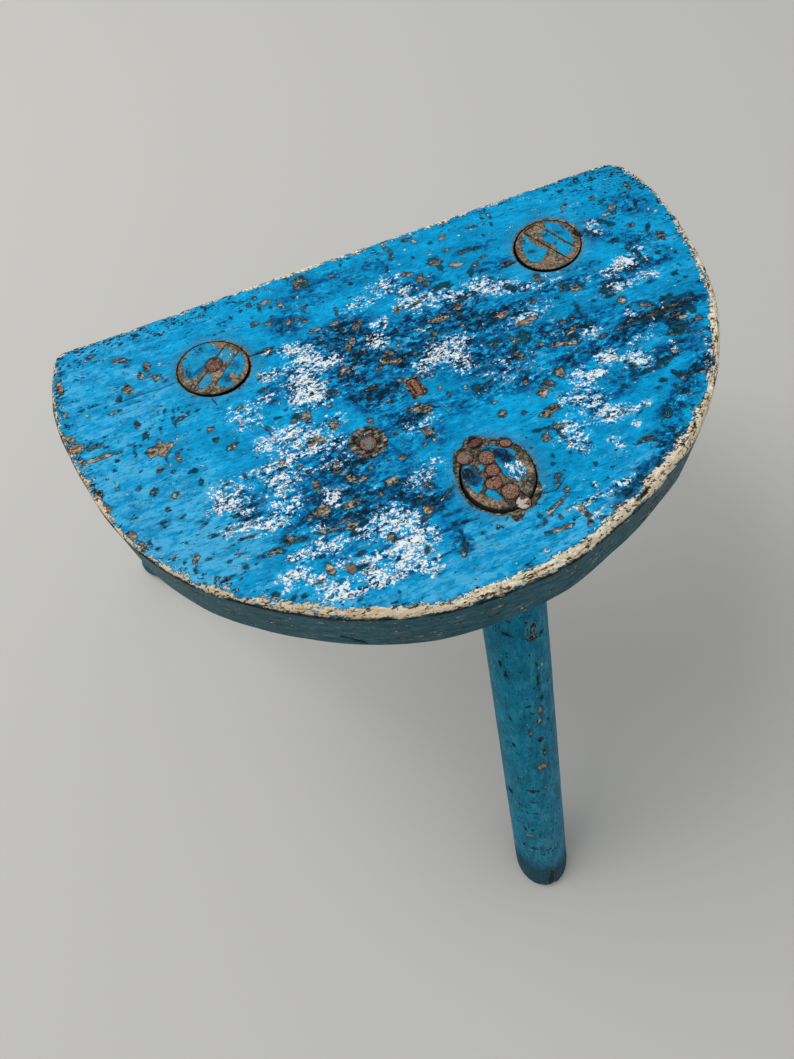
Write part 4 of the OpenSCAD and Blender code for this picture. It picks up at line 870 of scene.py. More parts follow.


# ---------------------------------------------------------------- leg tops: paint left on the end grain, outlines listed
TOPS = {
    "left": dict(
        paint=[[(-103.5, 88), (-103, 91.5), (-100.5, 93), (-98.5, 96), (-95.5, 98), (-92, 98.4), (-89, 97.5), (-87, 94.5),
                (-84.8, 92.2), (-84.5, 90.5), (-86.5, 88.5), (-89, 88.3), (-91.5, 88), (-93.2, 86.5), (-94, 84), (-95.5, 81.8),
                (-98, 80.2), (-101, 79.5), (-103.5, 80.5), (-104.2, 84)],
               [(-75.5, 84.5), (-78, 83), (-80.5, 80.6), (-84, 78.5), (-86.5, 76), (-87.5, 73.5), (-90.5, 71), (-90, 69), (-87.5, 68.5),
                (-86.5, 66.5), (-84.5, 67), (-84.6, 70), (-84.8, 73), (-83, 75.2), (-81, 74.5), (-80.3, 71.5), (-78, 72.5), (-76, 76), (-74.8, 80)]],
        navy=[(-94, 95, 4, 2.5, 20, 0.5), (-88, 91, 3, 3, 0, 0.4), (-102.5, 83, 2, 4, 0, 0.6), (-85, 72, 4, 4, 40, 0.6), (-80, 78, 3, 4, 30, 0.4), (-97, 82, 6, 2, 20, 0.5)],
        pale=[(-94.5, 89.5, 2.5, 1.5, 0, 0.8), (-99, 87, 4, 3, 0, 0.3)], white=[],
        warm=[(-100, 95.5, 2.5, 2, 20, 0.9), (-83, 95, 3, 3, 0, 0.7), (-82.5, 72.8, 2, 2, 0, 0.8), (-75.5, 74, 2, 5, 20, 0.5)]),
    "right": dict(
        paint=[[(80, 76.2), (82.5, 75.2), (84.5, 76), (87, 78), (89.3, 80.2), (88.3, 82.5), (86.3, 84.8), (85, 87), (84.5, 90), (84.5, 93.3),
                (82.5, 93), (80.5, 90.5), (79.5, 86), (78.6, 82), (79, 78.5)],
               [(97.0, 98), (99, 97.8), (101, 96.4), (103.3, 94), (104.8, 90.5), (105.2, 87), (105, 84), (104.5, 81), (103.6, 79.4),
                (102.2, 81), (100.6, 84.5), (99.2, 88), (98, 91.5), (96.8, 94.8)]],
        navy=[(82, 83, 2.6, 1.4, -20, 0.7), (81.5, 91, 2, 2, 0, 0.5), (101, 89, 3, 1.5, -30, 0.5), (104.3, 92, 1.2, 3, 0, 0.5)],
        pale=[], white=[(87, 73, 1.3, 1.0, -60, 0.9)],
        warm=[(86, 73.5, 5, 2.5, 0, 0.5), (102.5, 74, 3, 2, 30, 0.9), (98, 71, 3, 2, 0, 0.6)]),
    "front": dict(
        paint=[[(-4, -25), (-1.5, -22), (1, -22.3), (2.5, -25.5), (3.5, -29), (3.5, -31.5), (2, -33), (0.5, -35.6), (-1.5, -36.2), (-2.6, -33),
                (-3, -30), (-4.3, -27.5)],
               [(2, -38), (3.5, -36.8), (6, -37.3), (8, -38.5), (8.3, -41), (7, -43.7), (5, -42.3), (3, -40.5)],
               [(9.5, -17), (12, -16.3), (15, -17.3), (17.5, -19.8), (20.5, -21.3), (21.8, -24), (20.3, -26.3), (21.5, -28.5), (22.7, -31),
                (22.6, -34), (20.5, -37), (17.5, -37.6), (15.5, -34.5), (14.3, -31), (13.4, -28), (13, -25), (13, -21.5), (11, -19)],
               [(11.8, -32), (13.2, -31.8), (13.6, -34), (12.4, -34.6)]],
        navy=[(-1.5, -26, 4, 4, 40, 1.0), (0, -30, 4, 4, 0, 0.7), (16, -22, 5, 4, -30, 0.8), (18, -26, 4, 2.5, 0, 0.8), (20, -35.5, 3, 2.5, 0, 0.6), (11.5, -17.5, 3, 1.5, 0, 0.6)],
        pale=[(19.5, -22, 3.5, 2, 0, 0.9)],
        white=[(15.6, -28.6, 2.0, 1.3, 20, 1.0), (19, -33, 5, 4.5, 0, 0.75), (21.5, -30, 2, 2, 0, 0.7)],
        warm=[(-3, -38, 3, 6, 30, 0.6), (4, -44, 6, 3, -25, 0.5), (24, -33, 2, 5, 0, 0.6)]),
}
WEDGE_TOPS = {
    "left": dict(
        paint=[[(-86.2, 86.5), (-84.7, 89), (-82, 90), (-79.7, 88.5), (-78.6, 86.5), (-80, 84.2), (-82.5, 82.4), (-85, 83.5)],
               [(-99.5, 74.2), (-96, 77), (-93.5, 78.4), (-92.5, 76), (-93.5, 73.5), (-96, 71.7), (-99, 71.7)]],
        navy=[], pale=[(-82.5, 86.5, 5, 4, 0, 1.0), (-96, 75, 5, 4, 30, 0.75)], white=[(-84.3, 86.8, 1.0, 1.2, 0, 0.8), (-80.5, 85.3, 0.9, 0.8, 0, 0.6)],
        warm=[(-78, 89.5, 2, 3, -40, 0.4), (-90, 75, 3, 4, 20, 0.3)]),
    "right": dict(
        paint=[[(91.7, 87.3), (92.2, 89.8), (92.6, 92.3), (94.3, 93.6), (95.6, 91.8), (96.5, 89), (97.2, 86.5), (98.2, 84), (99.4, 81), (100.8, 78.8), (101.8, 77),
                (101, 74.6), (98.5, 73.6), (96.0, 73.9), (95.4, 76.5), (94.9, 79.5), (95.3, 82), (93.6, 84.3)]],
        navy=[(93.3, 90.5, 1.6, 2.6, -60, 0.6), (96, 83, 1.2, 1.2, 0, 0.4)], pale=[], white=[(93.8, 92.4, 1.0, 0.6, 0, 0.6)],
        warm=[(92.5, 96.5, 3, 2, 10, 0.9), (101.5, 74.0, 3, 2, 20, 1.0), (97.5, 71.8, 3, 1.5, 0, 0.8), (94.5, 81.5, 1.2, 2.5, -60, 0.9)]),
    "front": dict(
        paint=[[(4.6, -24.3), (5.6, -24.0), (5.9, -25.6), (4.9, -26)]],
        navy=[], pale=[], white=[], warm=[(12, -33, 3, 6, 0, 0.3)]),
}


def top_marks(x, y, spec, seed, base=0.45):
    sd = np.full(np.shape(x), -5.0)
    for p in spec["paint"]:
        sd = np.maximum(sd, poly_sd(x, y, p))
    sd = sd + 0.9 * (fbm(x / 1.6, y / 1.6, seed, 3) - 0.5) + 0.55
    return dict(paint=np.clip(0.5 + 0.55 * sd, 0, 1), navy=soft_area(x, y, spec["navy"]), pale=soft_area(x, y, spec["pale"]),
                white=soft_area(x, y, spec["white"]), shade=np.clip(base + soft_area(x, y, spec["warm"]), 0, 1)), sd


def strip_loop(L, level, half_lo, half_hi, inset, m=46, k=14, centre_shift=0.0):
    """Outline of the wedge at a depth: two straight sides and two ends that follow the dowel, anticlockwise."""
    t, wd = math.radians(L["turn"]), math.radians(L["wedge"])
    c = np.array(L["c"]) + level * TAN * np.array([math.cos(t), math.sin(t)])
    dw, nw = np.array([math.cos(wd), math.sin(wd)]), np.array([-math.sin(wd), math.cos(wd)])
    rr = LEG_R - inset

    def hit(o, sgn):
        lo, hi = 0.0, 40.0
        for _ in range(40):
            mid = (lo + hi) / 2
            q = c + nw * o + dw * mid * sgn
            inside_it = ell_r(q[0], q[1], c, L["turn"], rr) < 0
            lo, hi = (mid, hi) if inside_it else (lo, mid)
        return lo * sgn
    sh = L["shift"] + centre_shift
    a, b = sh + half_lo, sh + half_hi       # half_lo < 0 < half_hi, offsets along nw
    pts = []
    s0, s1 = hit(a, -1), hit(a, 1)
    for i in range(m):
        s = s0 + (s1 - s0) * i / m
        pts.append(c + nw * a + dw * s)
    for i in range(k):
        o = a + (b - a) * i / k
        pts.append(c + nw * o + dw * hit(o, 1))
    s0, s1 = hit(b, 1), hit(b, -1)
    for i in range(m):
        s = s0 + (s1 - s0) * i / m
        pts.append(c + nw * b + dw * s)
    for i in range(k):
        o = b + (a - b) * i / k
        pts.append(c + nw * o + dw * hit(o, -1))
    return np.array(pts)


WEDGE_T, WEDGE_TIP, WEDGE_DEPTH = 8.4, 2.6, 34.0
KERF_GAP = {"left": (0.15, 0.12), "right": (0.55, 0.12), "front": (0.12, 0.12)}   # at the side towards -normal, +normal
END_GAP = {"left": 1.35, "right": 1.40, "front": 1.75}


def local_frame(L):
    t = math.radians(L["turn"])
    ax = np.array([math.sin(LEAN) * math.cos(t), math.sin(LEAN) * math.sin(t), -math.cos(LEAN)])
    e2 = np.array([-math.sin(t), math.cos(t), 0.0])
    e1 = np.cross(e2, ax)
    return ax, e1, e2


def leg_coords(co, L):
    ax, e1, e2 = local_frame(L)
    q = co - np.array([L["c"][0], L["c"][1], H])
    return np.stack([q @ e1, q @ e2, q @ ax], 1)


ATTRS = ("paint", "navy", "pale", "white", "shade", "dark", "chip", "crack", "dirt", "pit", "speck", "top", "side", "bare", "rim", "under", "run", "inset")
# marks on a leg's shaft: depth below the seat top, angle round the leg (world), half length, half width, tilt, shade, dark
LEG_MARKS = {
    "front": [
        (66.4, -80, 3.5, 1.5, -20, 0.5, 0.45), (72.5, -84, 1.6, 3.5, -20, 0.5, 0.4), (74, -66, 0.8, 1.8, -20, 0.2, 0.9),
        (68.7, -126, 1.2, 2.2, 0, 0.1, 1), (90.4, -143, 2.5, 1.2, 0, 0.1, 1), (96.2, -135, 2.7, 0.9, 0, 0.1, 1),
        (81, -129, 0.6, 0.6, 0, 0.1, 0.8), (90.6, -81, 2.6, 0.7, 0, 0.1, 0.9), (101.6, -82, 3.6, 0.7, 0, 0.1, 0.9),
        (122.5, -83, 3, 1, 0, 0.9, 0.3), (128.9, -86, 1.7, 1, 0, 0.8, 0.1), (143.6, -87, 2, 1.5, 0, 0.5, 0.6),
        (116.9, -103, 0.5, 0.9, 0, 0.1, 1), (128, -138, 1.8, 0.6, 10, 0.1, 0.8), (148.5, -137, 1.5, 1.1, 0, 0.1, 1),
        (149.3, -149, 0.5, 1, 30, 0.1, 0.8), (165.6, -87, 1.7, 3, -25, 0.95, 0.1), (196.6, -165, 1.8, 2.5, 20, 0.2, 0.8),
        (184.8, -112, 1.1, 2.9, 0, 0.3, 0.5), (194.9, -111, 0.5, 1.8, 0, 0.1, 0.7), (205.5, -111, 0.5, 1.3, 0, 0.1, 0.9),
        (223.8, -136, 1.3, 0.7, 0, 0.1, 0.8), (222.3, -120, 1.5, 0.9, -20, 0.1, 0.8), (229.3, -125, 1, 3.2, 5, 0.95, 0),
        (276, -87, 8.0, 1.1, 0, 1, 0.0), (275, -92, 8.5, 2.0, 0, 0.1, 1), (132.5, -68, 1, 0.5, 0, 0.1, 0.8), (242.7, -92, 0.6, 1, 0, 0.1, 0.7),
        (245, -77, 0.5, 1.5, -20, 0.1, 0.7), (60.3, -119, 0.5, 1, 0, 0.1, 0.8), (147.7, -106, 0.8, 1, 0, 0.6, 0),
        (136.1, -104, 2.2, 0.9, 0, 0.6, 0.1), (114.6, -77, 1.6, 0.9, 0, 0.4, 0.6), (108.2, -81, 0.6, 0.5, 0, 0.1, 0.8),
        (105, -89, 0.5, 0.6, 0, 0.1, 0.8), (200.9, -137, 0.5, 0.8, 0, 0.1, 0.7), (154.5, -82, 2.4, 0.7, 0, 0.4, 0.1),
        (205.7, -127, 0.5, 0.6, 0, 0.1, 0.7), (225.8, -107, 0.8, 0.6, 0, 0.1, 0.7), (241.9, -145, 0.8, 0.5, 0, 0.1, 0.7),
        (241.7, -121, 0.6, 1.2, 0, 0.1, 0.6), (246.9, -104, 0.8, 0.5, 0, 0.1, 0.7), (215.9, -146, 0.4, 0.8, 0, 0.1, 0.6),
        (107.1, -60, 1, 0.5, 0, 0.1, 0.7), (124.6, -110, 0.5, 0.5, 0, 0.1, 0.6), (122.9, -95, 0.4, 0.7, 0, 0.1, 0.7),
        (114.4, -122, 0.5, 0.5, 0, 0.1, 0.6), (143.5, -61, 1.5, 0.5, 0, 0.3, 0.5),
    ],
}


def more_marks(seed, n, avoid):
    """Chips for the sides that the photograph does not show, of the same sizes as those that it does."""
    rng = np.random.default_rng(seed)
    out = []
    for _ in range(n):
        big = rng.random() < 0.2
        lv, an = rng.uniform(60, 272), rng.uniform(-180, 180)
        a, b = (rng.uniform(1.5, 3.2), rng.uniform(0.9, 2.4)) if big else (rng.uniform(0.5, 1.8), rng.uniform(0.5, 1.1))
        if avoid and abs((an - avoid + 180) % 360 - 180) < 62:
            continue
        out.append((lv, an, a, b, rng.uniform(-25, 25), rng.uniform(0.1, 0.9), rng.choice([0.1, 0.3, 0.6, 0.9, 1.0])))
    return out


LEG_MARKS["front"] += more_marks(31, 70, -103.0)
LEG_MARKS["left"] = more_marks(32, 90, None)
LEG_MARKS["right"] = more_marks(33, 90, None)


class Piece(Build):
    """A Build that also keeps every wear attribute for each point."""

    def __init__(self):
        super().__init__()
        self.at = {k: [] for k in ATTRS}

    def more(self, pts, **kw):
        i = self.add(pts)
        for k in ATTRS:
            self.at[k].append(np.broadcast_to(np.asarray(kw.get(k, 0.0), float), (len(i),)).copy())
        return i

    def done(self, name, material, coords):
        ob = self.make(name, {k: np.concatenate(v) for k, v in self.at.items()}, material)
        vector_attr(ob, "gco", coords(np.concatenate(self.pts)))
        return ob


def hex_in(s, lo, hi, seed):
    rng = np.random.default_rng(seed)
    ys = np.arange(lo[1], hi[1], s * 0.866)
    g = np.concatenate([np.stack([np.arange(lo[0] + (k % 2) * s / 2, hi[0], s), np.full(len(np.arange(lo[0] + (k % 2) * s / 2, hi[0], s)), yy)], 1)
                        for k, yy in enumerate(ys)])
    return g + rng.uniform(-0.22, 0.22, g.shape) * s


def line_gap(xy, loops, gap):
    """True where a point is further than gap from every loop."""
    ok = np.ones(len(xy), bool)
    for lp in loops:
        d, _ = seg_dist(xy[:, 0], xy[:, 1], np.vstack([lp, lp[:1]]))
        ok &= d > gap
    return ok


def top_level(x, y, seed):
    return 0.14 * (fbm(x / 3.2, y / 3.2, seed, 3) - 0.5) + bruises(x, y) * 0.9


def build_leg(name, material):
    L = LEGS[name]
    c, n, seed = L["c"], 156, L["seed"]
    t = math.radians(L["turn"])
    ph = np.arange(n) * 2 * math.pi / n
    u, v = np.cos(ph) / math.cos(LEAN), np.sin(ph)
    wa = np.arctan2(u * math.sin(t) + v * math.cos(t), u * math.cos(t) - v * math.sin(t))
    k = 0.5 + 0.5 * np.cos(wa - math.radians(L["gap_at"]))
    B = Piece()

    def ring(level, grow):
        return ellipse(c, L["turn"], LEG_R, n, grow, level)

    def gap(level):
        return L["gap"] * k ** 1.7 * (1 - smooth(5, 14, level)) + 0.10 * (1 - smooth(1, 4, level)) * fbm(np.cos(ph) * 4 + 9, np.sin(ph) * 4, seed, 2)

    # end grain, with the slot that the wedge sits in
    edge = ring(0.3, -0.42 - gap(0))
    slot = strip_loop(L, 0.3, -WEDGE_T / 2 - KERF_GAP[name][0], WEDGE_T / 2 + KERF_GAP[name][1], END_GAP[name])
    inner_ring = ring(0.3, -0.95 - gap(0))
    pts = hex_in(0.66, edge.min(0), edge.max(0), seed)
    ok = inside(pts, inner_ring) & ~inside(pts, slot)
    pts = pts[ok]
    pts = pts[line_gap(pts, [inner_ring, slot], 0.42)]
    keep = (~inside(inner_ring, slot)) & line_gap(inner_ring, [slot], 0.30)
    flat = np.concatenate([edge, slot, inner_ring[keep], pts])
    z = H - 0.26 + top_level(flat[:, 0], flat[:, 1], seed)
    z[:n] -= 0.12
    z -= 2.6 * smooth(-0.25, 1.7, near_hole(flat[:, 0], flat[:, 1])) * (name == "right")
    marks, sd = top_marks(flat[:, 0], flat[:, 1], TOPS[name], seed, 0.22 if name == "front" else 0.45)
    z += 0.13 * smooth(-0.2, 0.4, sd)
    # painted shade: dark in the old nail hole and round the rims of the nail heads
    holes = smooth(0.0, 1.3, near_hole(flat[:, 0], flat[:, 1])) if name == "right" else 0.0
    nd = np.zeros(len(flat))
    for nx, ny, r, style in NAILS.values():
        nd = np.maximum(nd, 1 - smooth(r - 0.1, r + 0.8, np.hypot(flat[:, 0] - nx, flat[:, 1] - ny)))
    z = np.minimum(z, H - 0.02)
    cap = B.more(np.column_stack([flat, z]), top=1.0, pit=np.maximum(nd, holes), speck=0.3, **marks)
    tri = cdt(flat, [np.arange(n), np.arange(n, n + len(slot))])
    B.tris(cap[tri])
    # slot walls, painted dark as shade in the kerf
    prev = cap[n:n + len(slot)]
    for lv in (0.8, 2.5, 10, 34.4):
        f = lv / WEDGE_DEPTH
        half = (WEDGE_T * (1 - min(f, 1)) + WEDGE_TIP * min(f, 1)) / 2
        lp = strip_loop(L, lv, -half - KERF_GAP[name][0] * (1 - 0.6 * min(f, 1)), half + KERF_GAP[name][1], END_GAP[name])
        cur = B.more(np.column_stack([lp, np.full(len(lp), H - lv)]), top=1.0, pit=0.9, dirt=1.0)
        B.strip(prev, cur)
        prev = cur
    B.faces.append(prev.tolist())
    # shaft
    prev = cap[:n]
    levels = [0.62, 1.2, 2.4, 4, 7, 11, 15, 20, 26, 32] + list(np.arange(36, 276, 0.75)) + [276.5, 278, 279.5, 281, 282.3, 283.4, 284.3, 285.0]
    for lv in levels:
        ax = lv / math.cos(LEAN)
        grow = np.full(n, -0.04)
        grow -= gap(lv)
        if lv < 1:
            grow -= 0.12
        # pale: paler lower down, plus a painted sheen down the side of the leg facing -50 degrees
        attr = dict(paint=1.0, speck=0.28, shade=0.25, chip=np.zeros(n), pale=0.05 + 0.15 * smooth(150, 260, lv) + 0.38 * smooth(0.0, 0.9, np.cos(wa - math.radians(-50))))
        if lv > 33:
            wob = fbm(np.cos(wa) * 1.3 + 3 + ax / 160, np.sin(wa) * 1.3 + ax / 90, seed + 3, 3) - 0.5
            grow += 0.55 * wob - 0.12
            fine = fbm(np.cos(wa) * 9 + ax / 30, np.sin(wa) * 9 - ax / 26, seed + 5, 3) - 0.5
            grow += 0.22 * fine
            chip = np.full(n, -3.0)
            shade, dark = np.full(n, 0.25), np.zeros(n)
            for i, f in enumerate(LEG_MARKS[name]):
                p = ax - f[0] / math.cos(LEAN)
                if abs(p) > 2.0 * max(f[2], f[3]) + 1.5:
                    continue
                da = (np.degrees(wa) - f[1] + 180) % 360 - 180
                q = da * math.pi / 180 * LEG_R
                ca, sa = math.cos(math.radians(f[4])), math.sin(math.radians(f[4]))
                uu, vv = (p * ca + q * sa) / f[2], (-p * sa + q * ca) / f[3]
                s = (1 - np.hypot(uu, vv) / ragged(np.arctan2(vv, uu), 300 + i, 0.4)) * min(f[2], f[3])
                shade = np.where(s > chip, f[5], shade)
                dark = np.where(s > chip, f[6], dark)
                chip = np.maximum(chip, s)
                grow -= 0.3 * smooth(-0.1, 0.5, s)
            attr.update(chip=np.clip(0.5 + 0.30 * chip, 0, 1), shade=shade, dark=dark)
            # the feet darken towards the floor, the front one most on its side facing -135 degrees: dirty wood and
            # painted shade
            foot = smooth(246, 285, lv)
            attr["dirt"] = np.clip((smooth(250, 277, lv) * (1.25 + 0.55 * np.cos(wa - math.radians(-135))) if name == "front" else foot * 0.9) + 0.5 * (fbm(np.cos(wa) * 3 + ax / 20, np.sin(wa) * 3, seed + 8, 3) - 0.5) * smooth(200, 270, lv), 0, 1)
            attr["bare"] = np.clip(0.30 * smooth(270, 285, lv), 0, 1)
            if lv > 279:
                grow -= 2.3 * smooth(279, 285.4, lv) ** 1.6 + 0.5 * smooth(278, 284, lv) * fbm(np.cos(wa) * 3, np.sin(wa) * 3, seed + 9, 3)
        else:
            # inside the bore the leg is painted dark as shade in the gap round it, darkest near the top
            attr["pit"] = 0.75 * (1 - smooth(1.5, 8, lv)) if lv > 1 else 0.45
            attr["dirt"] = 1.0 if lv < 8 else 0.6
            attr["paint"] = 0.0
            attr["top"] = 1.0
        e = ellipse(c, L["turn"], LEG_R, n, grow, lv)
        cur = B.more(np.column_stack([e, np.full(n, H - lv)]), **attr)
        B.strip(prev, cur, flip=True)
        prev = cur
    cen = B.more([[c[0] + H * TAN * math.cos(t), c[1] + H * TAN * math.sin(t), 0.0]], dirt=1.0, top=1.0, paint=0.0)
    B.fan(prev, cen[0], flip=True)
    return B.done(name + "_leg_wood", material, lambda co: leg_coords(co, L))


def build_wedge(name, material):
    L = LEGS[name]
    seed = L["seed"] + 40
    B = Piece()
    h = WEDGE_T / 2
    rim = strip_loop(L, 0.25, -h + 0.28, h - 0.28, END_GAP[name] + 0.35)
    inner = strip_loop(L, 0.25, -h + 0.75, h - 0.75, END_GAP[name] + 0.85)
    pts = hex_in(0.66, rim.min(0), rim.max(0), seed)
    pts = pts[inside(pts, inner)]
    pts = pts[line_gap(pts, [inner], 0.4)]
    flat = np.concatenate([rim, inner, pts])
    marks, sd = top_marks(flat[:, 0], flat[:, 1], WEDGE_TOPS[name], seed, 0.15 if name == "front" else 0.45)
    z = H - 0.30 + top_level(flat[:, 0], flat[:, 1], seed) + 0.13 * smooth(-0.2, 0.4, sd)
    z[:len(rim)] -= 0.10
    # painted shade round the rims of the nail heads
    nd = np.zeros(len(flat))
    for nx, ny, r, style in NAILS.values():
        nd = np.maximum(nd, 1 - smooth(r - 0.1, r + 0.8, np.hypot(flat[:, 0] - nx, flat[:, 1] - ny)))
    cap = B.more(np.column_stack([flat, np.minimum(z, H - 0.02)]), top=1.0, pit=nd, speck=0.25, **marks)
    B.tris(cap[cdt(flat, [np.arange(len(rim))])])
    prev = cap[:len(rim)]
    # the wedge's sides down in the kerf are painted dark as shade
    for lv in (0.62, 2.5, 10, 20, 34.0):
        f = min(lv / WEDGE_DEPTH, 1)
        half = (WEDGE_T * (1 - f) + WEDGE_TIP * f) / 2
        lp = strip_loop(L, lv, -half, half, END_GAP[name] + 0.12)
        cur = B.more(np.column_stack([lp, np.full(len(lp), H - lv)]), top=1.0, pit=0.6, dirt=0.8)
        B.strip(prev, cur, flip=True)
        prev = cur
    B.faces.append(prev[::-1].tolist())
    return B.done(name + "_wedge_wood", material, lambda co: leg_coords(co, L))


NAIL_ATTRS = ("orange", "pink_rust_and_highlight", "painted", "chalk", "dark")


def build_nail(name, x, y, r, style, material, seed):
    k = 52
    ph = np.arange(k) * 2 * math.pi / k
    fr = np.array([0.12, 0.25, 0.38, 0.5, 0.62, 0.73, 0.83, 0.91, 0.97, 1.0])
    shape = 1 + 0.10 * (fbm(np.cos(ph) * 1.6 + 7, np.sin(ph) * 1.6, seed, 3) - 0.5) * 2
    ax, ay, rot = r, r, 0.0
    high, base, tilt = 0.55, FACE - 0.62, (0.0, 0.0)
    if style == "dome":
        high, base = 0.82, FACE - 0.75
    if style == "heart":
        shape *= 1 - 0.20 * np.exp(-(((ph - math.radians(95) + math.pi) % (2 * math.pi) - math.pi) / 0.42) ** 2) - 0.06 * np.cos(2 * (ph - 1.6))
    if style == "bent":
        ax, ay, rot, tilt = r * 1.18, r * 0.66, math.radians(8), (0.05, -0.16)
    if style == "tilted":
        ax, ay, rot, tilt = r * 1.05, r * 0.72, math.radians(-32), (0.10, 0.12)
    if style == "target":
        high, base = 0.5, FACE - 1.02
    if style == "chalky":
        shape *= 1 + 0.10 * (fbm(np.cos(ph) * 3, np.sin(ph) * 3 + 3, seed + 2, 2) - 0.5)
    B = Build()
    at = {a: [] for a in NAIL_ATTRS}
    co2, rho2 = [], []

    def at_frac(f):
        u, v = ax * shape * f * np.cos(ph), ay * shape * f * np.sin(ph)
        return np.stack([u * math.cos(rot) - v * math.sin(rot), u * math.sin(rot) + v * math.cos(rot)], 1)

    def height(p, f):
        q = 1 - f ** 2 if style in ("dome", "bent") else 1 - f ** 4
        z = base + high * max(q, 0.0) ** 0.62
        z = z + 0.16 * (fbm((p[:, 0] + x) / 1.1, (p[:, 1] + y) / 1.1, seed, 3) - 0.5) * (1 - 0.3 * f) + tilt[0] * p[:, 0] + tilt[1] * p[:, 1]
        if style == "ring":
            z = z - 0.22 * (1 - smooth(0.2, 0.55, np.full(len(p), f)))
        if style == "target":
            z = z - 0.15 * (1 - smooth(0.3, 0.6, np.full(len(p), f)))
        if style == "heart":
            z = z - 0.35 * np.exp(-(p[:, 0] / 0.5) ** 2) * smooth(-0.5, 2.0, p[:, 1])
        return np.minimum(z, H - 0.02)

    def mark(p, f):
        X, Y = p[:, 0] + x, p[:, 1] + y
        n1 = fbm(X / 1.8, Y / 1.8, seed + 4, 3)
        f = np.full(len(p), f)
        # salmon rust with painted highlight on the lit tops of the heads
        o, pk, pt, ch = smooth(0.52, 0.66, n1) * 0.8, smooth(0.35, 0.65, fbm(X / 2.2, Y / 2.2, seed + 6, 2)) * 0.7, 0 * f, 0 * f
        if style == "ring":
            pt = 1 - smooth(0.25, 0.5, f + 0.5 * (n1 - 0.5)); o = np.maximum(o, 0.55 * smooth(0.3, 0.6, f))
        if style == "target":
            pt = 1 - smooth(0.35, 0.62, f + 0.5 * (n1 - 0.5)); pk = np.maximum(pk, smooth(0.5, 0.8, f) * 0.8); o = np.maximum(o, 0.4 * smooth(0.4, 0.8, f))
        if style == "chalky":
            ch = smooth(0.42, 0.58, fbm(X / 1.5, Y / 1.5, seed + 8, 3)); pk = pk * 0.5
        if style in ("dome", "bent"):
            pk, o = pk * 0.35, o * 0.35
        if style == "tilted":
            pk = np.ones(len(p))
        # painted shade round the rim of the head; the bent and domed heads are also darker all over
        dark_and_rim_shade = smooth(0.86, 1.0, f) + (0.75 if style == "bent" else 0.35 if style == "dome" else 0.0)
        if style == "flat":
            pk = np.maximum(pk, 0.45)
        return dict(orange=o, pink_rust_and_highlight=pk, painted=pt, chalk=ch, dark=np.clip(dark_and_rim_shade, 0, 1))

    def put(p, z, f):
        i = B.add(np.column_stack([p[:, 0] + x, p[:, 1] + y, z]))
        mk = mark(p, f)
        for a in NAIL_ATTRS:
            at[a].append(np.broadcast_to(mk[a], (len(p),)).astype(float))
        return i

    cen = put(np.zeros((1, 2)), height(np.zeros((1, 2)), 0.0), 0.0)
    prev = None
    for f in fr:
        p = at_frac(f)
        cur = put(p, height(p, f), f)
        if prev is None:
            B.fan(cur, cen[0])
        else:
            B.strip(cur, prev)
        prev = cur
    for f, dz in ((1.0, 0.35), (0.93, 0.9), (0.5, 1.3)):
        p = at_frac(f)
        cur = put(p, np.full(k, base - dz), 1.0)
        B.strip(prev, cur, flip=True)
        prev = cur
    for rr, z in ((1.6, FACE - 3.4), (1.6, H - 26.0), (0.4, H - 30.0)):
        p = np.stack([rr * np.cos(ph), rr * np.sin(ph)], 1)
        cur = put(p, np.full(k, z), 1.0)
        B.strip(prev, cur, flip=True)
        prev = cur
    B.faces.append(prev[::-1].tolist())
    ob = B.make(name + "_iron", {a: np.concatenate(v) for a, v in at.items()}, material)
    vector_attr(ob, "gco", np.concatenate(B.pts))
    return ob


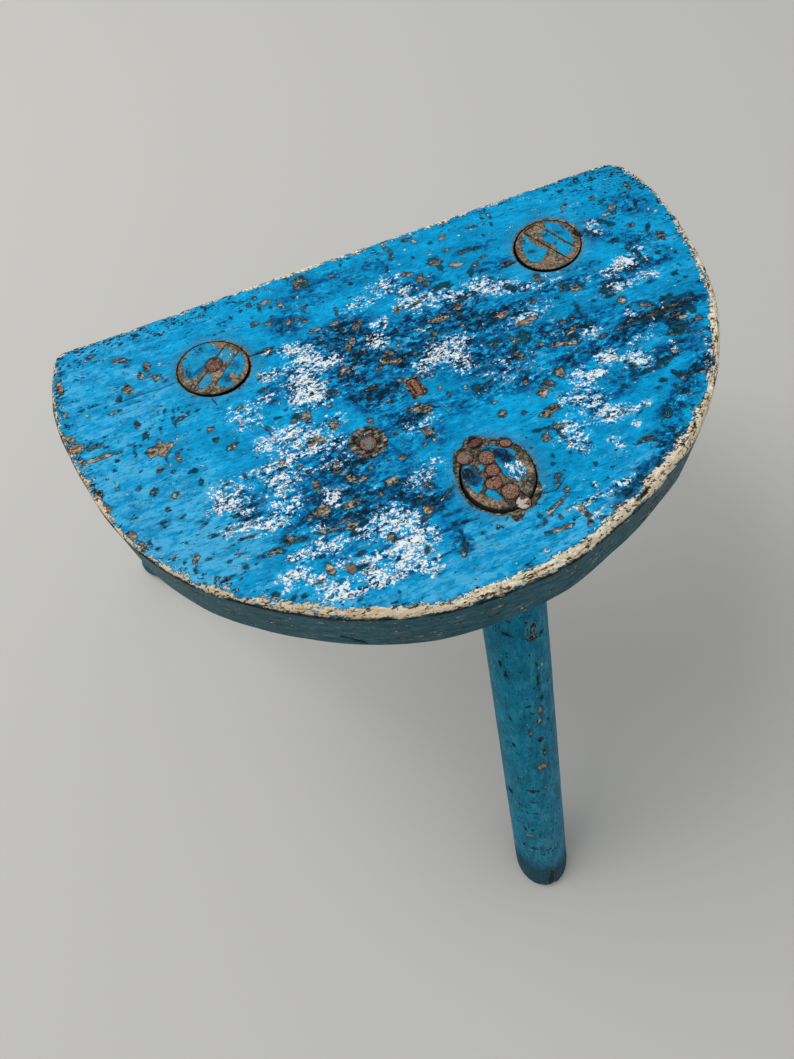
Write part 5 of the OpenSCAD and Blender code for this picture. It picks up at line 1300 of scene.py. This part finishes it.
def build_cut_nail(material):
    x, y, a, b, rot = CUT[0], CUT[1], CUT[2], CUT[3], math.radians(CUT[4])
    k = 72
    ph = np.arange(k) * 2 * math.pi / k
    c, s = np.cos(ph), np.sin(ph)
    e = 2.0 / 5.0
    edge = np.stack([a * np.sign(c) * np.abs(c) ** e, b * np.sign(s) * np.abs(s) ** e], 1)
    edge *= (1 + 0.09 * (fbm(c * 1.8 + 3, s * 1.8, 5, 3) - 0.5) * 2)[:, None]
    B = Build()
    at = {q: [] for q in NAIL_ATTRS}

    def put(p, z, f):
        X = x + p[:, 0] * math.cos(rot) - p[:, 1] * math.sin(rot)
        Y = y + p[:, 0] * math.sin(rot) + p[:, 1] * math.cos(rot)
        i = B.add(np.column_stack([X, Y, z]))
        n1 = fbm(X / 1.6, Y / 1.6, 66, 3)
        # painted shade: near-black in the sunken line across the head and round its rim
        groove_shade = np.exp(-((p[:, 1] + 0.95) / 0.42) ** 2) * (np.abs(p[:, 0]) < a * 0.78)
        at["orange"].append(smooth(0.45, 0.62, n1) * 0.7)
        # a band of painted highlight along the raised top of the head
        at["pink_rust_and_highlight"].append(np.exp(-((p[:, 1] - 0.4) / 1.5) ** 2) * np.ones(len(p)))
        at["painted"].append(np.zeros(len(p)))
        at["chalk"].append(np.zeros(len(p)))
        at["dark"].append(np.clip(groove_shade * 1.1 + smooth(0.9, 1.0, np.full(len(p), f)) * 0.7, 0, 1))
        return i

    def height(p, f):
        z = FACE - 0.66 + 0.42 * (1 - f ** 4) + 0.16 * (fbm(p[:, 0] / 1.2 + 4, p[:, 1] / 1.2, 67, 3) - 0.5)
        z -= 0.85 * np.exp(-((p[:, 1] + 0.95) / 0.42) ** 2) * (1 - smooth(a * 0.68, a * 0.85, np.abs(p[:, 0])))
        z += 0.10 * np.exp(-((p[:, 1] - 0.5) / 0.9) ** 2)
        return np.minimum(z, H - 0.02)

    cen = put(np.zeros((1, 2)), height(np.zeros((1, 2)), 0.0), 0.0)
    prev = None
    for f in (0.1, 0.2, 0.3, 0.4, 0.5, 0.6, 0.7, 0.8, 0.88, 0.95, 1.0):
        p = edge * f
        cur = put(p, height(p, f), f)
        B.fan(cur, cen[0]) if prev is None else B.strip(cur, prev)
        prev = cur
    for f, z in ((1.0, FACE - 1.2), (0.7, FACE - 1.8), (0.36, H - 4.0), (0.34, H - 26.0), (0.12, H - 30.0)):
        cur = put(edge * f, np.full(k, z), 1.0)
        B.strip(prev, cur, flip=True)
        prev = cur
    B.faces.append(prev[::-1].tolist())
    ob = B.make("cut_seat_nail_iron", {q: np.concatenate(v) for q, v in at.items()}, material)
    vector_attr(ob, "gco", np.concatenate(B.pts))
    return ob


# ---------------------------------------------------------------- materials
class Mat:
    def __init__(self, name):
        self.m = bpy.data.materials.new(name)
        self.m.use_nodes = True
        self.nt = self.m.node_tree
        self.nt.nodes.clear()
        self.out = self.nt.nodes.new("ShaderNodeOutputMaterial")
        self.b = self.nt.nodes.new("ShaderNodeBsdfPrincipled")
        self.nt.links.new(self.b.outputs[0], self.out.inputs[0])
        self.seen = {}
        self.co = self.attr("gco", "Vector")

    def put(self, sock, val):
        if isinstance(val, bpy.types.NodeSocket):
            self.nt.links.new(val, sock)
        elif isinstance(val, (tuple, list)) and len(val) == 3 and sock.type == "RGBA":
            sock.default_value = (*val, 1.0)
        else:
            sock.default_value = val

    def attr(self, name, out="Fac"):
        if (name, out) not in self.seen:
            n = self.nt.nodes.new("ShaderNodeAttribute")
            n.attribute_name = name
            self.seen[(name, out)] = n.outputs[out]
        return self.seen[(name, out)]

    def co_(self, scale=(1, 1, 1), off=(0, 0, 0)):
        n = self.nt.nodes.new("ShaderNodeMapping")
        self.put(n.inputs["Vector"], self.co)
        n.inputs["Scale"].default_value = scale
        n.inputs["Location"].default_value = off
        return n.outputs[0]

    def noise(self, vec, scale=1.0, detail=3.0, rough=0.5, dist=0.0):
        n = self.nt.nodes.new("ShaderNodeTexNoise")
        self.put(n.inputs["Vector"], vec)
        n.inputs["Scale"].default_value = scale
        n.inputs["Detail"].default_value = detail
        n.inputs["Roughness"].default_value = rough
        n.inputs["Distortion"].default_value = dist
        return n.outputs["Fac"]

    def voro(self, vec, scale=1.0, feature="F1", out="Distance", rand=1.0):
        n = self.nt.nodes.new("ShaderNodeTexVoronoi")
        n.feature = feature
        self.put(n.inputs["Vector"], vec)
        n.inputs["Scale"].default_value = scale
        n.inputs["Randomness"].default_value = rand
        return n.outputs[out]

    def warp(self, vec, scale, amount):
        """The same coordinates, pushed about by up to half of amount in each direction."""
        n = self.nt.nodes.new("ShaderNodeTexNoise")
        self.put(n.inputs["Vector"], vec)
        n.inputs["Scale"].default_value = scale
        n.inputs["Detail"].default_value = 2.0
        q = self.nt.nodes.new("ShaderNodeVectorMath")
        q.operation = "MULTIPLY_ADD"
        self.put(q.inputs[0], n.outputs["Color"])
        q.inputs[1].default_value = (amount,) * 3
        self.put(q.inputs[2], vec)
        return q.outputs[0]

    def along(self, scale):
        """Coordinates that follow the seat's edge: along it (scaled), in from it, and down."""
        sep = self.nt.nodes.new("ShaderNodeSeparateXYZ")
        self.put(sep.inputs[0], self.co)
        n = self.nt.nodes.new("ShaderNodeCombineXYZ")
        self.put(n.inputs[0], self.mul(self.attr("run"), scale))
        self.put(n.inputs[1], self.attr("inset"))
        self.put(n.inputs[2], sep.outputs[2])
        return n.outputs[0]

    def split(self, colour):
        n = self.nt.nodes.new("ShaderNodeSeparateColor")
        self.put(n.inputs[0], colour)
        return n.outputs[0], n.outputs[1], n.outputs[2]

    def op(self, kind, a, b=0.0, c=0.0, clamp=False):
        n = self.nt.nodes.new("ShaderNodeMath")
        n.operation = kind
        n.use_clamp = clamp
        self.put(n.inputs[0], a)
        self.put(n.inputs[1], b)
        if len(n.inputs) > 2:
            self.put(n.inputs[2], c)
        return n.outputs[0]

    def add(self, *v):
        r = v[0]
        for q in v[1:]:
            r = self.op("ADD", r, q)
        return r

    def mul(self, a, b, clamp=False):
        return self.op("MULTIPLY", a, b, clamp=clamp)

    def mad(self, a, b, c):
        return self.op("MULTIPLY_ADD", a, b, c)

    def high(self, *v):
        r = v[0]
        for q in v[1:]:
            r = self.op("MAXIMUM", r, q)
        return r

    def span(self, v, lo, hi, a=0.0, b=1.0):
        n = self.nt.nodes.new("ShaderNodeMapRange")
        n.interpolation_type = "SMOOTHSTEP"
        n.clamp = True
        self.put(n.inputs["Value"], v)
        n.inputs["From Min"].default_value = lo
        n.inputs["From Max"].default_value = hi
        n.inputs["To Min"].default_value = a
        n.inputs["To Max"].default_value = b
        return n.outputs[0]

    def mix(self, f, a, b, kind="MIX"):
        n = self.nt.nodes.new("ShaderNodeMix")
        n.data_type = "RGBA"
        n.blend_type = kind
        self.put(n.inputs[0], f)
        self.put(n.inputs[6], a)
        self.put(n.inputs[7], b)
        return n.outputs[2]

    def mixf(self, f, a, b):
        n = self.nt.nodes.new("ShaderNodeMix")
        n.data_type = "FLOAT"
        self.put(n.inputs[0], f)
        self.put(n.inputs[2], a)
        self.put(n.inputs[3], b)
        return n.outputs[0]

    def ramp(self, v, stops):
        n = self.nt.nodes.new("ShaderNodeValToRGB")
        e = n.color_ramp.elements
        e[0].position, e[0].color = stops[0][0], (*stops[0][1], 1)
        e[1].position, e[1].color = stops[-1][0], (*stops[-1][1], 1)
        for p, c in stops[1:-1]:
            q = e.new(p)
            q.color = (*c, 1)
        self.put(n.inputs[0], v)
        return n.outputs[0]

    def bump(self, height, strength=1.0, distance=MM):
        n = self.nt.nodes.new("ShaderNodeBump")
        n.inputs["Strength"].default_value = strength
        n.inputs["Distance"].default_value = distance
        self.put(n.inputs["Height"], height)
        self.put(self.b.inputs["Normal"], n.outputs[0])


def painted_wood(name, grain, azure, light, deep, leg=False):
    M = Mat(name)
    a = M.attr
    g = M.co_(tuple(0.13 if k == grain else 1.0 for k in range(3)), (3.1, 7.7, 1.3))
    g3 = M.co_(tuple(0.33 if k == grain else 1.0 for k in range(3)), (11.0, 2.0, 5.0))
    g30 = M.co_(tuple(0.022 if k == grain else 1.0 for k in range(3)), (1.0, 4.0, 2.0))
    iso = M.co_((1, 1, 1), (40, 13, 7))
    n_fl = M.noise(iso, 0.92, 3.0, 0.62)            # flakes, about a millimetre
    n_gr = M.noise(g, 1.05, 4.0, 0.62)              # grain
    n_st = M.noise(g3, 0.26, 3.0, 0.55)             # streaky patches
    n_br = M.noise(M.co, 0.045, 2.0, 0.5)           # broad drift
    n_hl = M.noise(g30, 1.0, 2.0, 0.5)              # long thin lines
    n_sp = M.noise(g3, 0.95, 2.0, 0.6)              # specks
    n_to = M.noise(M.co, 2.6, 2.0, 0.6)             # tooth
    n_e1 = M.noise(M.along(0.15), 0.85, 4.0, 0.62)  # streaks that follow the edge
    n_e2 = M.noise(M.along(0.30), 0.24, 3.0, 0.55)
    # crisp paint flakes: cells with wavering borders, about 3 mm, 1.5 mm and 0.8 mm across
    bent = M.warp(M.co_(tuple(0.62 if k == grain else 1.0 for k in range(3))), 0.9, 1.1)
    ra, ga, ba = M.split(M.voro(bent, 0.40, out="Color"))
    rb, gb, bb = M.split(M.voro(bent, 0.74, out="Color"))
    rc, gc, bc = M.split(M.voro(bent, 1.35, out="Color"))
    fl = M.span(n_fl, 0.24, 0.76)
    st = M.span(n_st, 0.28, 0.72)
    gr = M.span(n_gr, 0.28, 0.72)
    mosaic = M.add(M.mul(ra, 0.30), M.mul(rb, 0.36), M.mul(rc, 0.22), M.mul(fl, 0.12))
    second = M.add(M.mul(ga, 0.30), M.mul(gb, 0.38), M.mul(gc, 0.20), M.mul(gr, 0.12))
    navy, white = a("navy"), a("white")

    # how light or dark the coat is here: 0 the oldest navy, 0.5 plain blue, 1 white
    worn = M.high(navy, M.mul(white, 0.75))
    contrast = M.mad(worn, 0.95, M.mad(a("speck"), 0.12, 0.16))
    lean = M.add(M.mul(white, 0.09), M.mul(navy, -0.34))
    level = M.mad(M.add(mosaic, -0.5), contrast, M.add(lean, 0.5))
    level = M.mad(M.add(st, -0.5), M.mad(worn, 0.22, 0.07), level)
    level = M.mad(M.add(n_br, -0.5), 0.20, level)
    # in white places some flakes are gone to the dark, in dark places some blue is left
    gone = M.mul(M.span(second, 0.40, 0.36), M.span(white, 0.20, 0.60), clamp=True)
    left = M.mul(M.span(second, 0.60, 0.64), M.span(navy, 0.25, 0.70), clamp=True)
    level = M.mad(gone, -0.26, level)
    level = M.mad(left, 0.22, level)
    coat = M.ramp(level, [(0.00, (0.0012, 0.016, 0.032)), (0.13, (0.0014, 0.031, 0.068)), (0.16, (0.0018, 0.060, 0.150)),
                          (0.25, (0.0018, 0.070, 0.182)), (0.28, (0.0018, 0.118, 0.315)), (0.36, (0.0018, 0.142, 0.375)),
                          (0.39, tuple(v * 0.86 for v in deep)), (0.46, deep), (0.52, azure), (0.60, light), (0.66, tuple(min(v * 1.12 + 0.02, 1) for v in light)),
                          (0.69, (0.125, 0.46, 0.70)), (0.75, (0.17, 0.50, 0.72)), (0.77, (0.36, 0.64, 0.80)), (0.82, (0.50, 0.73, 0.85)),
                          (0.84, (0.80, 0.90, 0.94)), (1.0, (0.90, 0.97, 0.99))])
    if leg:
        top_coat = M.ramp(level, [(0.30, (0.002, 0.16, 0.34)), (0.40, (0.002, 0.25, 0.49)), (0.50, (0.003, 0.34, 0.64)), (0.60, (0.012, 0.43, 0.76)), (0.70, (0.12, 0.50, 0.74))])
        top_coat = M.mix(M.span(M.mad(navy, 0.6, M.mul(second, 0.4)), 0.50, 0.53), top_coat, (0.002, 0.085, 0.20))
        top_coat = M.mix(M.span(M.mad(navy, 0.6, M.mul(mosaic, 0.4)), 0.60, 0.64), top_coat, (0.0015, 0.018, 0.045))
        coat = M.mix(a("top"), coat, top_coat)
    # paler paint, and the painted sheen carried in the same layer, held back where the coat is most worn
    pale = M.mad(a("pale"), 0.46, M.add(M.mul(st, 0.30), M.mul(gr, 0.20), M.mul(bb, 0.22), M.mul(ba, 0.14)))
    m_pale_and_sheen = M.mul(M.span(pale, 0.60, 0.90), M.span(worn, 0.6, 0.3), clamp=True)
    coat = M.mix(M.mul(m_pale_and_sheen, 0.66), coat, (0.10, 0.50, 0.80) if not leg else (0.075, 0.26, 0.35))
    # white paint: hard little flakes over whatever is below
    fine = M.span(M.add(M.mul(fl, 0.42), M.mul(gc, 0.16), M.mul(gb, 0.32), M.mul(ga, 0.10)), 0.22, 0.80)
    wn = M.add(M.mul(white, M.mad(white, 0.50, 0.28)), fine, M.mad(st, 0.26, -0.13), M.mad(gr, 0.20, -0.10))
    m_wh = M.mul(M.span(wn, 1.00, 1.015), M.span(white, 0.05, 0.16))
    m_wh2 = M.mul(M.mul(M.span(wn, 0.90, 0.92), M.span(ba, 0.35, 0.45)), M.span(white, 0.08, 0.20))
    coat = M.mix(M.mul(m_wh2, 0.60), coat, (0.20, 0.50, 0.69))
    coat = M.mix(m_wh, coat, M.mix(M.mul(bc, 0.45), (0.97, 0.985, 0.99), (0.60, 0.78, 0.86)))
    m_dk = M.span(level, 0.27, 0.25)
    # thin dark lines along the grain
    line = M.mul(M.span(M.op("ABSOLUTE", M.add(n_hl, -0.5)), 0.008, 0.026, 1.0, 0.0), M.span(n_sp, 0.47, 0.60))
    col = M.mix(M.mul(line, 0.50), coat, (0.004, 0.030, 0.055))
    # bare wood
    jag = M.add(M.mad(fl, 0.10, -0.05), M.mad(gr, 0.08, -0.04), M.mad(rc, 0.10, -0.05))
    f_chip = M.add(M.mad(jag, M.mad(a("dark"), 0.5, 1.0), a("chip")), M.mad(M.span(gb, 0.78, 0.82), -0.10, 0.01), M.mul(a("dark"), -0.05))
    f_bare = M.add(a("bare"), M.mad(fl, 0.26, -0.13), M.mad(M.span(n_e2, 0.30, 0.70), 0.44, -0.22), M.mad(rc, 0.32, -0.16), M.mad(rb, 0.46, -0.23), M.mad(M.span(n_e1, 0.3, 0.7), 0.14, -0.07))
    f_rim = M.add(a("rim"), M.mad(fl, 0.20, -0.10), M.mad(rc, 0.16, -0.08))
    m_chip = M.span(f_chip, 0.50, 0.52)
    m_bare = M.span(f_bare, 0.50, 0.52)
    m_rim = M.span(f_rim, 0.50, 0.54)
    # small losses anywhere the paint is worn
    sm = M.mad(worn, 0.10, M.mad(a("speck"), 0.10, M.add(M.mul(n_sp, 0.50), M.mul(gb, 0.20), M.mul(gc, 0.16), M.mul(ga, 0.14))))
    m_sm = M.span(sm, 0.745, 0.765)
    m_smr = M.span(sm, 0.705, 0.745)
    m_wood = M.high(m_chip, m_bare, m_rim, m_sm)
    # dark outlines round chips, the worn band, the rims and small losses: painted shade of the step at the paint's edge
    edge = M.high(M.mul(M.span(f_chip, 0.27, 0.42), M.mad(M.span(n_st, 0.40, 0.55), 0.5, 0.5)), M.mul(M.span(f_bare, 0.34, 0.48), M.mad(M.span(n_e2, 0.40, 0.56), 0.55, 0.40)), M.mul(M.span(f_rim, 0.43, 0.50), 0.7), M.mul(m_smr, 0.8))
    if leg:
        f_paint = M.add(a("paint"), M.mad(fl, 0.14, -0.07))
        m_raw = M.span(f_paint, 0.46, 0.53, 1.0, 0.0)
        m_wood = M.high(m_wood, m_raw)
        edge = M.high(edge, M.mul(M.span(f_paint, 0.50, 0.62, 1.0, 0.0), a("top")))
    wv = M.add(M.mul(n_gr, 0.30), M.mul(n_sp, 0.22), M.mul(n_to, 0.08), M.mul(n_fl, 0.16), M.mul(bc, 0.10), M.mul(bb, 0.14))
    wood = M.ramp(wv, [(0.40, (0.018, 0.013, 0.010)), (0.45, (0.11, 0.080, 0.052)), (0.50, (0.31, 0.240, 0.160)), (0.57, (0.58, 0.48, 0.35)), (0.64, (0.80, 0.72, 0.57))])
    grey = M.ramp(wv, [(0.42, (0.010, 0.011, 0.011)), (0.47, (0.050, 0.048, 0.042)), (0.54, (0.160, 0.148, 0.118)), (0.61, (0.46, 0.435, 0.36))])
    wood = M.mix(M.high(m_bare, M.span(a("shade"), 0.25, 0.75)), grey, wood)
    warm = M.mix(M.span(a("shade"), 0.55, 1.0), wood, M.mix(0.55, wood, (0.40, 0.20, 0.09)))
    # the worn edge: pale with orange-brown patches
    bt = M.add(M.mul(M.span(n_e1, 0.28, 0.72), 0.34), M.mul(M.span(n_e2, 0.3, 0.7), 0.20), M.mul(n_fl, 0.20), M.mul(rc, 0.10), M.mul(gb, 0.16))
    light_edge = M.ramp(bt, [(0.30, (0.03, 0.024, 0.017)), (0.35, (0.24, 0.170, 0.095)), (0.40, (0.67, 0.51, 0.30)), (0.47, (0.98, 0.85, 0.58)), (0.56, (1.0, 0.95, 0.77))])
    light_edge = M.mix(M.mul(M.span(M.add(M.mul(n_e2, 0.7), M.mul(gb, 0.3)), 0.50, 0.58), 0.60), light_edge, M.mix(0.6, light_edge, (0.46, 0.21, 0.085)))
    light_edge = M.mix(M.mul(M.span(a("run"), -330, -265, 1.0, 0.0), 0.42), light_edge, (0.56, 0.37, 0.19))
    if leg:
        warm = M.mix(M.mul(a("top"), 0.42), warm, M.mix(M.span(a("shade"), 0.2, 0.6), (0.085, 0.066, 0.046), (0.23, 0.165, 0.105)))
    warm = M.mix(m_bare, warm, light_edge)
    # blackened chips
    f_dk = M.add(a("dark"), M.mad(rc, 0.30, -0.15), M.mad(fl, 0.30, -0.15), M.mad(gb, 0.20, -0.10))
    m_black = M.mul(M.span(f_dk, 0.46, 0.56), M.op("SUBTRACT", 1.0, m_bare), clamp=True)
    black = M.mix(M.mul(gb, 0.8), (0.006, 0.034, 0.052), (0.011, 0.125, 0.200) if not leg else (0.005, 0.020, 0.030))
    warm = M.mix(M.mul(m_black, M.op("SUBTRACT", 1.0, m_rim), clamp=True), warm, black)
    # painted shade along the paint's edges, also round the paint on the leg tops
    paint_edge_shade = M.mul(edge, M.op("SUBTRACT", 1.0, m_wood), clamp=True)
    col = M.mix(M.mul(paint_edge_shade, 0.80), col, (0.007, 0.014, 0.017))
    col = M.mix(m_wood, col, warm)
    # specks
    sp = M.mad(a("speck"), 0.20, M.add(M.mul(n_sp, 0.50), M.mul(rb, 0.16), M.mul(gc, 0.18), M.mul(ga, 0.16)))
    m_sp = M.span(sp, 0.745, 0.760)
    col = M.mix(M.mul(m_sp, 0.90), col, (0.007, 0.014, 0.018))
    # dark layer: dirty round the legs on the seat, darker lower on the side wall, and painted shade on the walls of the
    # bores, slots and wedges and at the feet
    dirt = M.mul(a("dirt"), M.span(M.add(M.mul(n_st, 0.5), M.mul(n_fl, 0.5)), 0.36, 0.62, 0.60 if leg else 0.35, 1.0), clamp=True)
    col = M.mix(M.mul(dirt, 0.88 if leg else 0.50), col, (0.026, 0.034, 0.035) if leg else (0.105, 0.110, 0.080))
    # the sides are duller than the top
    sv = M.add(M.mul(M.span(n_e1, 0.28, 0.72), 0.5), M.mul(M.span(n_e2, 0.3, 0.7), 0.25), M.mul(rb, 0.25))
    sv = M.mad(M.add(sv, -0.5), M.mad(M.span(a("shade"), 0.2, 0.42), 0.65, 0.50), 0.48)
    dull = M.ramp(sv, [(0.24, (0.010, 0.020, 0.024)), (0.34, (0.020, 0.066, 0.080)), (0.50, (0.032, 0.108, 0.126)), (0.64, (0.085, 0.175, 0.180)), (0.78, (0.24, 0.28, 0.25))])
    side = M.mul(a("side"), M.op("SUBTRACT", 1.0, m_wood), clamp=True)
    col = M.mix(M.mul(side, 0.95), col, dull)
    raw = M.mix(M.span(n_gr, 0.35, 0.65), (0.115, 0.085, 0.055), (0.27, 0.21, 0.145))
    f_un = M.add(a("under"), M.mad(n_st, 0.9, -0.45))
    col = M.mix(M.span(f_un, 0.48, 0.60), col, raw)
    col = M.mix(M.mul(a("crack"), 0.92), col, (0.010, 0.011, 0.010))
    # painted shade: near-black in the old nail hole, on the walls of the bores, slots and wedges where the gaps show,
    # and round the rims of nail heads
    col = M.mix(M.mul(a("pit"), 0.93), col, (0.014, 0.010, 0.008))
    M.put(M.b.inputs["Base Color"], col)
    rough = M.mixf(m_wood, M.mad(n_fl, 0.22, 0.34), 0.86)
    rough = M.mixf(M.high(m_wh, dirt), rough, 0.70)
    M.put(M.b.inputs["Roughness"], rough)
    M.b.inputs["Specular IOR Level"].default_value = 0.08 if leg else 0.04
    # relief, in mm
    h = M.add(M.mul(m_wood, -0.16), M.mul(m_wh, 0.07), M.mul(m_dk, -0.07), M.mul(m_sp, -0.18))
    h = M.add(h, M.mul(line, -0.08), M.mul(n_gr, 0.16), M.mul(n_fl, 0.10), M.mul(n_to, 0.025), M.mul(bb, 0.03))
    h = M.add(h, M.mul(M.mul(wv, m_wood), 0.9))
    M.bump(h, 1.0)
    return M.m


def rusty_iron(name):
    M = Mat(name)
    a = M.attr
    n1 = M.noise(M.co, 0.75, 4.0, 0.6)
    n2 = M.noise(M.co_((1, 1, 1), (9, 4, 2)), 1.9, 3.0, 0.65)
    col = M.ramp(M.add(M.mul(n1, 0.5), M.mul(n2, 0.5)), [(0.42, (0.020, 0.009, 0.006)), (0.47, (0.085, 0.034, 0.020)), (0.53, (0.22, 0.090, 0.052)), (0.58, (0.44, 0.27, 0.20))])
    # salmon rust and painted highlight on the tops of the heads
    col = M.mix(M.mul(a("pink_rust_and_highlight"), M.span(n2, 0.40, 0.58), clamp=True), col, (0.40, 0.225, 0.175))
    col = M.mix(M.mul(a("orange"), M.span(n1, 0.44, 0.56), clamp=True), col, (0.30, 0.070, 0.016))
    col = M.mix(M.span(M.add(a("painted"), M.mad(n2, 0.5, -0.25)), 0.48, 0.56), col, (0.10, 0.22, 0.22))
    col = M.mix(M.span(M.add(a("chalk"), M.mad(n2, 0.5, -0.25)), 0.46, 0.58), col, (0.58, 0.50, 0.45))
    pits = M.span(n2, 0.33, 0.42, 1.0, 0.0)
    col = M.mix(M.mul(pits, 0.7), col, (0.016, 0.007, 0.005))
    # darker all over on some heads, and painted shade round the rims of heads and in the cut nail's sunken line
    col = M.mix(M.mul(a("dark"), 0.80), col, (0.022, 0.011, 0.008))
    M.put(M.b.inputs["Base Color"], col)
    M.put(M.b.inputs["Roughness"], M.mad(n1, 0.35, 0.48))
    M.b.inputs["Specular IOR Level"].default_value = 0.30
    M.bump(M.add(M.mul(n1, 0.30), M.mul(n2, 0.16), M.mul(pits, -0.10)), 0.9)
    return M.m


seat_mat = painted_wood("worn_blue_paint_on_plank", 0, (0.0012, 0.362, 0.715), (0.006, 0.448, 0.815), (0.001, 0.275, 0.560))
leg_mat = painted_wood("worn_teal_paint_on_dowel", 2, (0.001, 0.205, 0.330), (0.004, 0.270, 0.420), (0.001, 0.145, 0.235), leg=True)
top_mat = leg_mat
wedge_mat = painted_wood("painted_end_grain_wedge", 2, (0.004, 0.30, 0.60), (0.015, 0.38, 0.68), (0.003, 0.23, 0.48), leg=True)
iron_mat = rusty_iron("pitted_rusty_iron")

# ---------------------------------------------------------------- pieces
seat = build_seat(seat_mat)
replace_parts(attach(seat, "root"), "seat_plank")
for side_name in LEGS:
    leg = build_leg(side_name, leg_mat)
    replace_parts(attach(leg, "root"), side_name + "_leg")
    wdg = build_wedge(side_name, wedge_mat)
    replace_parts(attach(wdg, "root"), side_name + "_wedge")
for i, (nail_name, (nx, ny, nr, style)) in enumerate(NAILS.items()):
    nail = build_nail(nail_name, nx, ny, nr, style, iron_mat, 200 + 11 * i)
    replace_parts(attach(nail, "root"), nail_name)
cut = build_cut_nail(iron_mat)
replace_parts(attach(cut, "root"), "cut_seat_nail")

# ---------------------------------------------------------------- floor, light, camera
fl = bpy.data.meshes.new("floor")
s = 4.0
fl.from_pydata([(-s, -s, 0), (s, -s, 0), (s, s, 0), (-s, s, 0)], [], [(0, 1, 2, 3)])
floor = bpy.data.objects.new("floor", fl)
bpy.context.scene.collection.objects.link(floor)
fm = Mat("plain_pale_floor")
fm.b.inputs["Base Color"].default_value = (0.60, 0.585, 0.555, 1)
fm.b.inputs["Roughness"].default_value = 0.9
fm.b.inputs["Specular IOR Level"].default_value = 0.1
fl.materials.append(fm.m)

world = bpy.data.worlds.new("soft_studio")
bpy.context.scene.world = world
world.use_nodes = True
bg = world.node_tree.nodes.get("Background") or world.node_tree.nodes.new("ShaderNodeBackground")
bg.inputs[0].default_value = (0.93, 0.97, 1.0, 1)
bg.inputs[1].default_value = 0.55


def area(name, loc, aim, size, power, colour=(1, 1, 1)):
    d = bpy.data.lights.new(name, "AREA")
    d.shape, d.size, d.energy, d.color = "SQUARE", size, power, colour
    o = bpy.data.objects.new(name, d)
    o.location = loc
    o.rotation_mode = "QUATERNION"
    o.rotation_quaternion = (Vector(aim) - Vector(loc)).to_track_quat("-Z", "Y")
    bpy.context.scene.collection.objects.link(o)
    return o


area("key", (-1.1, 0.9, 2.2), (0, 0, 0.2), 1.8, 34.0, (1.0, 0.985, 0.96))

az, el, ro = math.radians(-12.39), math.radians(62.13), math.radians(-10.19)
back = Vector((math.sin(az) * math.cos(el), -math.cos(az) * math.cos(el), math.sin(el)))
right = Vector((math.cos(az), math.sin(az), 0.0))
up = back.cross(right)
r2 = math.cos(ro) * right + math.sin(ro) * up
u2 = -math.sin(ro) * right + math.cos(ro) * up
cam_data = bpy.data.cameras.new("camera")
cam_data.sensor_width = 36.0
cam_data.lens = 790.0 / 1059.0 * 36.0
cam_data.clip_start, cam_data.clip_end = 0.01, 50
cam = bpy.data.objects.new("camera", cam_data)
bpy.context.scene.collection.objects.link(cam)
m = Matrix((r2, u2, back)).transposed().to_4x4()
m.translation = Vector((-0.07394, -0.19315, 0.58361))
cam.matrix_world = m
bpy.context.scene.camera = cam
bpy.context.scene.view_settings.view_transform = "Standard"
bpy.context.scene.view_settings.look = "None"
